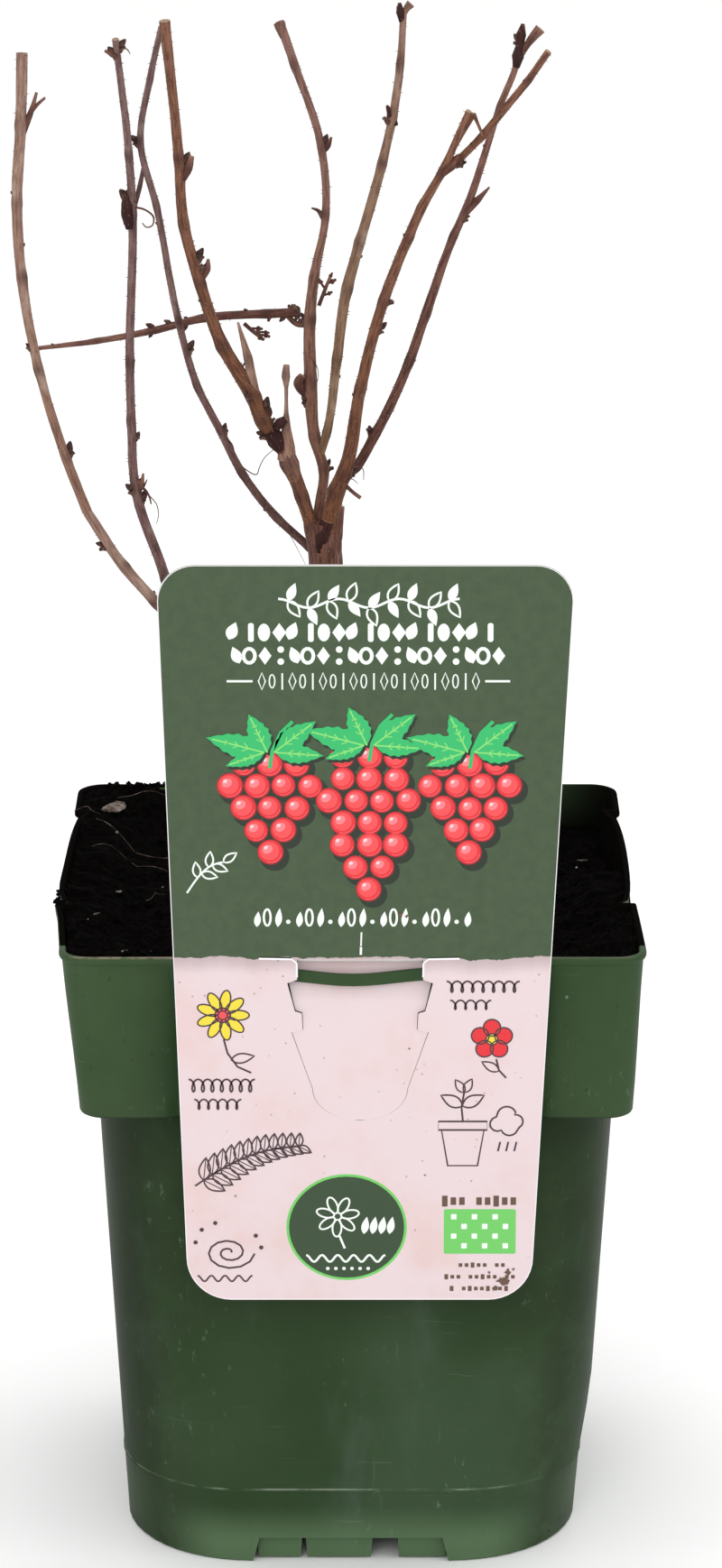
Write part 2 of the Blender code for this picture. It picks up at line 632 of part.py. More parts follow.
def unit_noise(seed, step):
    return noise.noise(Vector((seed * 7.31, step * 3.77, 0.5)))


def make_truss(name, truss, parts, cutters, material):
    start = Vector(truss["start"])
    heading = Vector(truss["heading"]).normalized()
    length = truss["length"]
    stem = [(start + heading * length * share, False) for share in (0.0, 0.5, 1.0)]
    radii = (STALK_RADIUS * 1.3, STALK_RADIUS, STALK_RADIUS)
    body = mesh_object(name, tube_mesh(name, stem, radii, 0.0, 0), parts, material)
    added = new_collection("stalks of " + name, cutters)
    across = heading.orthogonal().normalized()
    around = heading.cross(across)
    for i in range(truss["stalks"]):
        angle = i * STALK_TURN + unit_noise(truss["seed"], i) * 2.0
        aside = across * math.cos(angle) + around * math.sin(angle)
        root = start + heading * length * mix((0.35, 0.95), i / truss["stalks"])
        reach = length * truss["reach"] * (1.0 + 0.5 * unit_noise(truss["seed"], i + 20))
        tip = root + (aside + heading * STALK_LIFT).normalized() * reach
        middle = root.lerp(tip, 0.5) + aside * reach * STALK_BOW
        stalk = [(point, False) for point in (root, middle, tip)]
        shrink = (STALK_RADIUS * 0.85, STALK_RADIUS * 0.8, STALK_RADIUS * 1.15)
        mesh_object(name + " stalk", tube_mesh(name, stalk, shrink, 0.0, 0), added)
    boolean(body, "UNION", added)
    return body


def main():
    for body in list(bpy.data.objects):
        bpy.data.objects.remove(body)
    root = bpy.context.scene.collection
    parts = new_collection("raspberry canes in a pot", root)
    cutters = new_collection("cutters and guides", root)
    materials = {name: principled(name) for name in COLOURS}

    make_pot(parts, cutters, materials["pot"])
    make_soil(parts, materials["soil"])
    make_card(parts, cutters, materials["card"])
    clearances = {GROUND: make_ground(cutters)}
    for name, cane in CANES.items():
        make_cane(name, cane, parts, cutters, clearances, materials["cane"])
    for name, truss in TRUSSES.items():
        make_truss(name, truss, parts, cutters, materials["dry"])
    add_booleans()


main()
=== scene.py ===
# Bare raspberry canes in a square nursery pot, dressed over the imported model.
# Sizes are in millimetres and become metres through mm. +X is right, +Y is back, +Z is up.

import math
import random

import bmesh
import bpy
from mathutils import Matrix, Vector, noise


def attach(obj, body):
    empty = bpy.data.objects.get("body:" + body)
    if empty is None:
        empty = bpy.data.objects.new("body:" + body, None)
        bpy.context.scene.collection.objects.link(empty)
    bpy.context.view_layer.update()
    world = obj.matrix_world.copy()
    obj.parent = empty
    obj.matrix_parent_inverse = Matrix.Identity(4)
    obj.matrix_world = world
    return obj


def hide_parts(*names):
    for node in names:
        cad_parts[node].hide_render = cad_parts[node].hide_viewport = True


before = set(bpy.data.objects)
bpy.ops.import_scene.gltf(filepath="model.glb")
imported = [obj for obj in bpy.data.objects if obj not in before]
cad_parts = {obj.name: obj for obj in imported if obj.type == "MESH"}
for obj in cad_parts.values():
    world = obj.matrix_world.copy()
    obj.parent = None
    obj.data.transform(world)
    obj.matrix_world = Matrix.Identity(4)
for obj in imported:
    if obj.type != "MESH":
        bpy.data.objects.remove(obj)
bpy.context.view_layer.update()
mm = 0.001
dice = random.Random(26)


# Small helpers

def mix(low, high, share):
    return low + (high - low) * share


def eased(value, low, high):
    share = min(max((value - low) / (high - low), 0.0), 1.0)
    return share * share * (3 - 2 * share)


def tint(red, green, blue):
    # a colour as a picture shows it, 0 to 255, made linear
    shares = (red / 255, green / 255, blue / 255)
    return tuple(c / 12.92 if c <= 0.04045 else ((c + 0.055) / 1.055) ** 2.4 for c in shares)


def ripple(x, y, z, scale):
    return noise.noise(Vector((x, y, z)) * scale)


def pick(piece):
    # piece becomes the only one selected, and the active one
    bpy.ops.object.select_all(action="DESELECT")
    piece.select_set(True)
    bpy.context.view_layer.objects.active = piece
    return piece


def linked(name, mesh):
    piece = bpy.data.objects.new(name, mesh)
    bpy.context.scene.collection.objects.link(piece)
    return piece


def startPiece(name):
    # an empty mesh at the origin, left in edit mode for the primitives to come
    bpy.ops.object.select_all(action="DESELECT")
    bpy.ops.mesh.primitive_plane_add(size=mm, location=(0, 0, 0))
    piece = bpy.context.object
    piece.name = piece.data.name = name
    bpy.ops.object.mode_set(mode="EDIT")
    bpy.ops.mesh.delete(type="VERT")
    return piece


def endPiece(piece, smoothAngle=None):
    # normals out, back to object mode
    bpy.ops.mesh.select_all(action="SELECT")
    bpy.ops.mesh.normals_make_consistent(inside=False)
    bpy.ops.mesh.select_all(action="DESELECT")
    bpy.ops.object.mode_set(mode="OBJECT")
    pick(piece)
    if smoothAngle is not None:
        bpy.ops.object.shade_smooth_by_angle(angle=math.radians(smoothAngle))
    return piece


def selectVerts(test):
    # selects by a test on each vertex: its place in millimetres and its index
    bpy.ops.mesh.select_mode(type="VERT")
    bpy.ops.mesh.select_all(action="DESELECT")
    shape = bmesh.from_edit_mesh(bpy.context.object.data)
    for vert in shape.verts:
        vert.select_set(bool(test(vert.co / mm, vert.index)))
    shape.select_flush(True)
    bmesh.update_edit_mesh(bpy.context.object.data)


def modify(piece, kind, **settings):
    pick(piece)
    step = piece.modifiers.new(kind.title(), kind)
    for name, value in settings.items():
        setattr(step, name, value)
    bpy.ops.object.modifier_apply(modifier=step.name)


def combine(piece, operation, helper):
    # a Boolean with a helper that is used up
    modify(piece, "BOOLEAN", operation=operation, solver="EXACT", object=helper)
    bpy.data.objects.remove(helper)


def joined(name, pieces):
    pick(pieces[0])
    for piece in pieces:
        piece.select_set(True)
    bpy.ops.object.join()
    pieces[0].name = pieces[0].data.name = name
    return pieces[0]


def turned(piece, side):
    # turns a piece made for the front to the side with that number, anticlockwise
    pick(piece)
    piece.rotation_euler.z = side * math.pi / 2
    bpy.ops.object.transform_apply(location=False, rotation=True, scale=False)
    return piece


def meshArray(name, model, places):
    # one mesh of many copies of a model, each put in place by a matrix
    shape = bmesh.new()
    for place in places:
        before = len(shape.verts)
        shape.from_mesh(model)
        shape.verts.ensure_lookup_table()
        bmesh.ops.transform(shape, matrix=place, verts=shape.verts[before:])
    mesh = bpy.data.meshes.new(name)
    shape.to_mesh(mesh)
    shape.free()
    return linked(name, mesh)


def aimed(place, direction, size, spin=0.0):
    # a matrix that stands a model up along a direction, at a place in millimetres
    turn = Vector(direction).to_track_quat("Z", "Y").to_matrix().to_4x4()
    scale = Matrix.Diagonal((*([size] * 3 if isinstance(size, float) else size), 1.0))
    return Matrix.Translation(Vector(place) * mm) @ turn @ Matrix.Rotation(spin, 4, "Z") @ scale


def dress(piece, material, slot, *nodes):
    # material, body, slot (not used) and the imported nodes that the piece stands for
    if material:
        piece.data.materials.clear()
        piece.data.materials.append(material)
    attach(piece, "root")
    if nodes:
        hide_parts(*nodes)
    return piece


# Shader sums: a Wire wraps a socket, and sums on wires add Math nodes

class Wire:
    def __init__(self, tree, socket):
        self.tree = tree
        self.socket = socket

    def math(self, operation, *values):
        node = self.tree.nodes.new("ShaderNodeMath")
        node.operation = operation
        plug(self.tree, node.inputs, enumerate(values))
        return Wire(self.tree, node.outputs[0])

    def __add__(self, other):
        return self.math("ADD", self, other)

    def __sub__(self, other):
        return self.math("SUBTRACT", self, other)

    def __rsub__(self, other):
        return self.math("SUBTRACT", other, self)

    def __mul__(self, other):
        return self.math("MULTIPLY", self, other)

    __radd__ = __add__
    __rmul__ = __mul__

    def over(self, low, high):
        # 0 below low, 1 above high, smooth between; reversed where low is the larger
        node = self.tree.nodes.new("ShaderNodeMapRange")
        node.interpolation_type = "SMOOTHSTEP"
        flip = low > high
        ends = (high, low, 1.0, 0.0) if flip else (low, high, 0.0, 1.0)
        plug(self.tree, node.inputs, enumerate((self, *ends)))
        return Wire(self.tree, node.outputs[0])


def plug(tree, inputs, pairs):
    for key, value in pairs:
        if isinstance(value, Wire):
            tree.links.new(value.socket, inputs[key])
        elif isinstance(value, tuple) and inputs[key].type == "RGBA" and len(value) == 3:
            inputs[key].default_value = (*value, 1.0)
        else:
            inputs[key].default_value = value


class Finish:
    # one Principled material and the nodes that feed it
    def __init__(self, name, **constants):
        self.material = bpy.data.materials.new(name)
        self.material.use_nodes = True
        self.tree = self.material.node_tree
        self.shader = self.tree.nodes["Principled BSDF"]
        self.feed(**constants)

    def feed(self, **values):
        # socket names in camelCase: baseColor feeds Base Color
        for name, value in values.items():
            words = "".join(" " + c if c.isupper() else c for c in name).title()
            words = {"Specular": "Specular IOR Level"}.get(words, words)
            plug(self.tree, self.shader.inputs, [(words, value)])

    def node(self, kind, settings=None, values=None, output=0):
        node = self.tree.nodes.new("ShaderNode" + kind)
        for name, value in (settings or {}).items():
            setattr(node, name, value)
        plug(self.tree, node.inputs, (values or {}).items())
        return Wire(self.tree, node.outputs[output])

    def place(self, scale=(1.0, 1.0, 1.0), shift=(0.0, 0.0, 0.0), attribute=None):
        # where the surface is, in millimetres: Object coordinates, or the piece's own attribute
        if attribute:
            source = self.node("Attribute", {"attribute_name": attribute}, output="Vector")
            size = scale
        else:
            source = self.node("TexCoord", output="Object")
            size = tuple(s / mm for s in scale)
        return self.node("Mapping", values={"Vector": source, "Scale": size, "Location": shift})

    def axis(self, vector, name):
        return self.node("SeparateXYZ", values={"Vector": vector}, output=name)

    def attribute(self, name):
        return self.node("Attribute", {"attribute_name": name}, output="Fac")

    def noise(self, vector, scale, detail=3.0, roughness=0.55):
        return self.node("TexNoise", values={"Vector": vector, "Scale": scale, "Detail": detail,
                                             "Roughness": roughness})

    def spots(self, vector, scale, size):
        # round spots, one in each cell of a Voronoi pattern
        cell = self.node("TexVoronoi", values={"Vector": vector, "Scale": scale})
        return cell.over(size, size * 0.6)

    def blend(self, factor, first, second, kind="MIX"):
        return self.node("Mix", {"data_type": "RGBA", "blend_type": kind},
                         {0: factor, 6: first, 7: second}, output=2)

    def relief(self, height, distance, strength=1.0):
        return self.node("Bump", values={"Height": height, "Distance": distance * mm, "Strength": strength})


# Camera at the photograph's place, the light and the floor

view = {"target": (1.8, 0.0, 170.0), "distance": 1284.0, "elevation": 16.6, "focal": 6190.0,
        "longSide": 1738.0, "sensor": 36.0}


def makeCamera():
    lift = math.radians(view["elevation"])
    back = Vector((0.0, -math.cos(lift), math.sin(lift))) * view["distance"]
    spot = (Vector(view["target"]) + back) * mm
    bpy.ops.object.camera_add(location=spot, rotation=(math.pi / 2 - lift, 0.0, 0.0))
    camera = bpy.context.object
    camera.data.sensor_width = view["sensor"]
    camera.data.lens = view["focal"] * view["sensor"] / view["longSide"]
    camera.data.clip_end = 20.0
    bpy.context.scene.camera = camera


studio = {"sky": 1.0, "skyColour": (1.0, 1.0, 1.0), "floor": (0.96, 0.96, 0.955), "floorSize": 9.0}
# each softbox: place, where it points, side length and power, in metres and watts
softboxes = {"front": ((-0.35, -1.75, 1.05), (0.0, 0.0, 0.16), 0.9, 7.0),
             "top": ((0.1, 0.25, 1.7), (0.0, 0.0, 0.1), 1.2, 6.0),
             "right": ((1.5, -0.7, 0.7), (0.0, 0.0, 0.15), 0.8, 2.5)}


def makeStudio():
    scene = bpy.context.scene
    scene.view_settings.view_transform = "Standard"
    scene.world = bpy.data.worlds.new("studio")
    scene.world.use_nodes = True
    sky = scene.world.node_tree.nodes["Background"]
    sky.inputs["Color"].default_value = (*studio["skyColour"], 1.0)
    sky.inputs["Strength"].default_value = studio["sky"]
    for name, (spot, target, size, power) in softboxes.items():
        aim = (Vector(target) - Vector(spot)).to_track_quat("-Z", "Y").to_euler()
        bpy.ops.object.light_add(type="AREA", location=spot, rotation=aim)
        lamp = bpy.context.object
        lamp.name = name + " softbox"
        lamp.data.size = size
        lamp.data.energy = power
    bpy.ops.object.select_all(action="DESELECT")
    bpy.ops.mesh.primitive_plane_add(size=studio["floorSize"], location=(0, 0, 0))
    floor = bpy.context.object
    floor.name = "floor"
    paint = Finish("floor paint", baseColor=studio["floor"], roughness=0.85)
    floor.data.materials.append(paint.material)


makeCamera()
makeStudio()
print("camera, light and floor are up")


# Pot: levels of rounded squares, bridged from the bottom up. Each is (height, half width, corner)

pot = {"height": 150.0, "body": (52.0, 57.2), "bodyCorner": (30.0, 18.0), "step": 110.6,
       "collar": (61.7, 64.4), "collarCorner": (6.0, 6.0), "wall": 1.0, "lip": 0.6, "lipHeight": 1.8,
       "parting": 17.5, "floor": (6.4, 8.0), "cornerSteps": 12,
       "panels": ((-39.5, 39.5), (-26.0, 43.0), (-44.2, 44.2), (-43.0, 26.0)),
       "panelDepth": (1.5, 2.8, 2.8, 2.8), "panelSlope": (25.0, 0.8, 0.8, 0.8),
       "straps": ((-38.0, 38.0), (-27.0, 44.0), (-45.0, 45.0), (-44.0, 27.0)),
       "strapHeight": (147.1, 145.1, 145.1, 145.1), "strapSize": (0.8, 2.7),
       "strapBows": (4.6, 1.2, 1.2, 1.6), "strapSag": (1.1, 0.0, 0.0, 0.0),
       "cuts": ((-56, *range(-36, 40, 6)), (118, 126, 134, 141)),
       # how far the used pot leans, bulges and is pressed out
       "lean": (-0.5, -1.5), "bulge": (-1.9, -22.0, 18.0), "swell": (2.1, 8.0, 40.0), "slant": 0.9,
       "stance": 2.0, "tilt": 0.75, "press": 3.4,
       "notch": (22.6, 21.0, 6.0), "tabs": ((-21.5, -11.1), (-10.5, 5.1), (10.6, 22.0)),
       "tabBack": 50.2, "tabThick": 1.6, "foot": 10.0, "drain": (4.0, (34.0, 41.0))}


def bodySize(height, inset=0.0):
    share = height / pot["step"]
    return height, mix(*pot["body"], share) - inset, mix(*pot["bodyCorner"], share) - inset


def collarSize(height, inset=0.0):
    share = (height - pot["step"]) / (pot["height"] - pot["step"])
    return height, mix(*pot["collar"], share) - inset, mix(*pot["collarCorner"], share) - inset


def loftLevels(name, levels):
    piece = startPiece(name)
    count = 4 * (pot["cornerSteps"] + 1)
    for height, half, corner in levels:
        bpy.ops.mesh.select_all(action="DESELECT")
        bpy.ops.mesh.primitive_plane_add(size=2 * half * mm, location=(0, 0, height * mm))
        bpy.ops.mesh.bevel(offset=corner * mm, segments=pot["cornerSteps"], affect="VERTICES")
        bpy.ops.mesh.delete(type="ONLY_FACE")
    for i in (0, len(levels) - 1):
        selectVerts(lambda spot, index: index // count == i)
        bpy.ops.mesh.edge_face_add()
    for i in range(len(levels) - 1):
        bpy.ops.mesh.select_all(action="DESELECT")
        shape = bmesh.from_edit_mesh(piece.data)
        for edge in shape.edges:
            ends = {vert.index // count for vert in edge.verts}
            edge.select_set(len(ends) == 1 and ends.pop() in (i, i + 1))
        bmesh.update_edit_mesh(piece.data)
        bpy.ops.mesh.select_mode(type="EDGE")
        bpy.ops.mesh.bridge_edge_loops(number_cuts=0)
    return endPiece(piece)


def leaningBlock(name, side, grown, bottom):
    # what a panel takes out of the collar: its inner face leans out with the collar's side
    low, high = pot["panels"][side]
    slope = pot["panelSlope"][side]
    depth = pot["panelDepth"][side] + grown
    width = high - low + 2 * slope + 2 * grown
    # the front panel stops under the lip, which runs straight on over it
    top = pot["height"] + 4.0 if side else pot["height"] - pot["lipHeight"] - 0.5 + grown * 0.5
    outer = pot["collar"][1] + 6.0
    piece = startPiece(name)
    middle = Vector(((low + high) / 2, -outer, (bottom + top) / 2))
    bpy.ops.mesh.primitive_cube_add(size=mm, location=middle * mm, scale=(width, 2.0, top - bottom))
    for height, test in ((bottom, -1), (top, 1)):
        selectVerts(lambda spot, index: spot.y > -outer and (spot.z - middle.z) * test > 0)
        reach = collarSize(height)[1] - (depth if side or test < 0 else depth - pot["panelDepth"][0] * 0.7)
        bpy.ops.transform.translate(value=(0, (outer - 1.0 - reach) * mm, 0))
        bpy.ops.transform.resize(value=((width - 2 * slope) / width, 1, 1),
                                 center_override=middle * mm)
    if side and not grown:
        lip = pot["height"] - pot["lipHeight"]
        selectVerts(lambda spot, index: True)
        bpy.ops.mesh.bisect(plane_co=(0, 0, lip * mm), plane_no=(0, 0, 1))
        selectVerts(lambda spot, index: spot.y > -outer and spot.z > lip + 0.5)
        bpy.ops.transform.translate(value=(0, -pot["lip"] * mm, 0))
        selectVerts(lambda spot, index: True)
        bpy.ops.mesh.bisect(plane_co=(0, 0, (lip + pot["lip"] / 2) * mm), plane_no=(0, 0, 1))
    return turned(endPiece(piece), side)


def bowedStrap(side):
    # a thin bar held in the ends of a panel, bowed out between them ring by ring
    start, end = pot["straps"][side]
    thick, tall = pot["strapSize"]
    level = pot["strapHeight"][side]
    inner = collarSize(level, pot["wall"] / 2 + (0.0 if side else 0.7))[1]
    steps = 24
    piece = startPiece("strap")
    bpy.ops.mesh.primitive_cube_add(size=mm, location=Vector((start, -inner, level)) * mm,
                                    scale=(0.02, thick, tall))
    selectVerts(lambda spot, index: spot.x > start)
    for i in range(steps):
        waves = [math.sin(math.pi * j / steps) for j in (i, i + 1)]
        bow = [pot["strapBows"][side] * wave ** 1.3 for wave in waves]
        sag = [pot["strapSag"][side] * wave ** 10 for wave in waves]
        step = Vector(((end - start) / steps, bow[0] - bow[1], sag[0] - sag[1])) * mm
        bpy.ops.mesh.extrude_region_move(TRANSFORM_OT_translate={"value": step})
    return turned(endPiece(piece), side)


def notchBlock(side):
    wide, narrow, tall = pot["notch"]
    reach = pot["body"][0]
    piece = startPiece("notch")
    bpy.ops.mesh.primitive_cube_add(size=mm, location=Vector((0.0, -reach - 0.8, tall / 2 - 0.5)) * mm,
                                    scale=(2 * wide, 6.4, tall + 1.0))
    selectVerts(lambda spot, index: spot.z > 1.0)
    bpy.ops.transform.resize(value=(narrow / wide, 1, 1), center_override=(0, 0, tall * mm))
    return turned(endPiece(piece), side)


def footTabs(side):
    low, high = 0.5, pot["floor"][0] + 0.5
    piece = startPiece("foot tabs")
    for start, end in pot["tabs"]:
        middle = Vector(((start + end) / 2, -pot["tabBack"] + pot["tabThick"] / 2, (low + high) / 2))
        bpy.ops.mesh.select_all(action="DESELECT")
        bpy.ops.mesh.primitive_cube_add(size=mm, location=middle * mm,
                                        scale=(end - start, pot["tabThick"], high - low))
        selectVerts(lambda spot, index: spot.z < 1.0 and start - 0.1 < spot.x < end + 0.1)
        bpy.ops.mesh.select_mode(type="EDGE")
        bpy.ops.transform.resize(value=(0.93, 1, 1), center_override=middle * mm)
    return turned(endPiece(piece), side)


def drainHoles():
    radius, outs = pot["drain"]
    low, high = pot["floor"]
    piece = startPiece("drain holes")
    for i in range(8):
        angle = i * math.pi / 4
        spot = Vector((math.cos(angle), math.sin(angle), 0.0)) * outs[i % 2]
        spot.z = (low + high) / 2
        bpy.ops.mesh.select_all(action="DESELECT")
        bpy.ops.mesh.primitive_cylinder_add(vertices=28, radius=radius * mm, depth=(high - low + 2) * mm,
                                            location=spot * mm)
    return endPiece(piece)


def settle(piece):
    # the used pot stands a little askew: it leans left, bulges on the left and dips at the front rim
    for vert in piece.data.vertices:
        x, y, z = vert.co / mm
        upper = eased(z, pot["step"], pot["height"])
        low, high = pot["lean"]
        out, middle, reach = pot["bulge"]
        x += mix(low, high * eased(y, -64.0, 10.0), z / pot["height"])
        if x < -40.0:
            x += out * math.exp(-((y - middle) / reach) ** 2) * upper
        # the body is fuller on the right, its foot reaches further forward, and the collar slants
        if z < pot["step"] + 0.005:
            x += pot["swell"][0] * eased(x, 10.0, 50.0) * eased(z, *pot["swell"][1:])
            y -= pot["stance"] * eased(-y, 15.0, 50.0) * (1.0 - eased(z, 2.0, 45.0))
        else:
            x += pot["slant"] * (1.0 - upper)
        z += pot["tilt"] * y / pot["collar"][1] * upper
        vert.co = Vector((x, y, z)) * mm


def pressOut(piece):
    # the soil presses the thin side panels out towards their straps
    for vert in piece.data.vertices:
        x, y, z = vert.co / mm
        panel = pot["panels"][1] if x > 0 else [-end for end in pot["panels"][3]]
        share = (y - panel[0]) / (panel[1] - panel[0])
        if 57.0 < abs(x) < 62.6 and 0.0 < share < 1.0:
            push = pot["press"] * math.sin(math.pi * share) ** 0.35 * eased(z, pot["step"] + 4.0, 146.0)
            vert.co.x += math.copysign(push, x) * mm


# tints of the pot, linear: its green from dark to light, what lies on it, and painted light and shade: a
# painted shadow under the collar, painted light at the foot, painted shade, and a painted highlight with dust
# on the rim
potTints = {"deep": (0.030, 0.060, 0.0235), "green": (0.043, 0.075, 0.032), "body": (0.013, 0.028, 0.009),
            "faded": (0.058, 0.092, 0.062), "chalk": (0.070, 0.115, 0.070), "scuff": tint(118, 146, 122),
            "scrape": (0.11, 0.16, 0.11), "dust": (0.22, 0.27, 0.20), "fleck": (0.22, 0.26, 0.20),
            "grime": tint(40, 52, 32), "splash": (0.012, 0.009, 0.007), "rubbedAndHighlit": tint(148, 130, 112),
            "under": tint(20, 30, 16), "foot": tint(96, 122, 90), "shade": tint(18, 28, 14),
            "soil": (0.004, 0.0035, 0.003)}


def potFinish(name, gloss):
    # scuffed green plastic: cloudy patches, dust, scrapes, and dirt low down and at the corners, with painted
    # light and shade on the body and a painted highlight on the rim's front edge
    paint = Finish(name, specular=gloss, coatRoughness=0.34, coatWeight=gloss * 1.4)
    place = paint.place()
    across, along, height = (paint.axis(place, axis) for axis in "XYZ")
    side = across.math("ABSOLUTE", across)
    depth = along.math("ABSOLUTE", along)
    clouds = paint.noise(place, 0.026, 4.0, 0.6)
    grain = paint.noise(place, 0.9, 3.0)
    colour = paint.blend(clouds.over(0.32, 0.70), potTints["deep"], potTints["green"])

    def cover(amount, tintName):
        nonlocal colour
        colour = paint.blend(amount, colour, potTints[tintName])

    def patches(scale, low, high, detail=1.0):
        return paint.noise(place, scale, detail).over(low, high)

    cover(height.over(111.5, 110.5) * 0.42, "body")
    faded = paint.noise(paint.place((1.0, 1.0, 0.35), (7.0, 3.0, 1.0)), 0.075, 3.0)
    cover(faded.over(0.56, 0.76) * 0.5, "faded")
    cover(patches(0.014, 0.44, 0.62, 2.0) * height.over(128.0, 60.0) * 0.22, "chalk")
    scuffed = paint.noise(paint.place((1.0, 1.0, 0.5), (2.0, 6.0, 1.0)), 0.42, 4.0, 0.72)
    scuffs = scuffed.over(0.60, 0.72) * patches(0.035, 0.47, 0.60, 2.0) * height.over(140.0, 110.0)
    cover(scuffs * 0.34, "scuff")
    scrape = paint.noise(paint.place((0.10, 0.10, 1.8), (3.0, 8.0, 5.0)), 0.6, 2.0, 0.7)
    scrapes = scrape.over(0.655, 0.72) * patches(0.045, 0.46, 0.62)
    rubbedAndHighlit = paint.noise(paint.place((1.4, 1.4, 0.09), (9.0, 1.0, 5.0)), 0.5, 2.0, 0.7)
    rubs = rubbedAndHighlit.over(0.665, 0.73) * patches(0.05, 0.5, 0.64)
    cover(scrapes * 0.30 + rubs * 0.25, "scrape")
    # the parting line of the mould catches dust
    line = height.over(17.75, 17.95) * height.over(18.35, 18.1) * patches(0.12, 0.34, 0.62, 3.0)
    cover(line * across.over(56.0, 20.0) * 0.75, "dust")
    # the corners are browner: there both X and Y lie far out
    out = side.math("MINIMUM", side, depth)
    grime = out.over(27.0, 50.0) * height.over(116.0, 100.0) + height.over(8.0, 0.5) * 0.9
    cover(grime * paint.noise(place, 0.10, 5.0, 0.65).over(0.30, 0.62) * 0.7, "grime")
    splash = paint.noise(place, 0.32, 5.0, 0.72).over(0.62, 0.72)
    cover(splash * (height.over(14.0, 2.0) + out.over(38.0, 46.0) * 0.6) * 0.85, "splash")
    flecks = paint.spots(paint.place((1.0, 1.0, 0.8)), 0.13, 0.055)
    cover(flecks * patches(0.06, 0.5, 0.62) * 0.5, "fleck")
    # the rim's front edge is painted pale, most on the left: a painted highlight with some dust on it
    left = across.over(45.0, -40.0)
    edge = height.over(149.0, 149.25) * along.over(-63.0, -63.6) * patches(0.4, 0.3, 0.6, 4.0)
    cover(edge * (left * 0.42 + 0.12), "rubbedAndHighlit")
    # painted light and shade on the body: a painted shadow under the collar, painted shade at its sides, a
    # painted shadow of the card, and painted light at the front of the foot
    front = along.over(-40.0, -48.0)
    # painted shadow under the collar
    cover(height.over(96.0, 110.0) * height.over(111.2, 110.8) * 0.45, "under")
    # painted light on the front of the foot
    cover(height.over(15.0, 4.0) * front * side.over(46.0, 30.0) * 0.65, "foot")
    # painted shade on the body's sides, stronger on the left
    turn = side.over(40.0, 54.0) * height.over(110.8, 104.0) * height.over(10.0, 24.0)
    cover(turn * (left * 0.3 + 0.38), "shade")
    # painted shadow of the card on the front of the body
    cardShadow = side.over(46.0, 38.0) * height.over(50.0, 68.0) * height.over(100.0, 90.0)
    cover(cardShadow * front * 0.18, "shade")
    # soil clings to the inside of the rim; the back wall is cleaner high up on the right
    stain = paint.noise(place, 0.10, 5.0, 0.7) * 0.7 + side.over(42.0, 58.0) * 0.75
    stain = stain + height.over(149.0, 138.0) * 0.5
    stain = stain - height.over(149.2, 149.7) * along.over(-40.0, -57.0)
    clean = along.over(55.0, 57.0) * across.over(20.0, 40.0)
    clean = clean * across.over(63.0, 44.0) * height.over(136.0, 149.0)
    cover(paint.attribute("innerWall") * stain.over(0.48, 0.66) * (1.0 - clean * 0.5), "soil")
    paint.feed(baseColor=colour, roughness=clouds * 0.12 + grain * 0.08 + faded * 0.1 + 0.36,
               normal=paint.relief(grain * 0.35 + faded * 2.0 + scrapes, 0.10, 0.5))
    return paint.material


def shapeFiner(piece):
    # cuts across the side panels, so that they can curve
    pick(piece)
    bpy.ops.object.mode_set(mode="EDIT")
    for facing, places in zip(((0, 1, 0), (0, 0, 1)), pot["cuts"]):
        for place in places:
            bpy.ops.mesh.select_all(action="SELECT")
            bpy.ops.mesh.bisect(plane_co=Vector(facing) * place * mm, plane_no=facing)
    bpy.ops.object.mode_set(mode="OBJECT")
    return piece


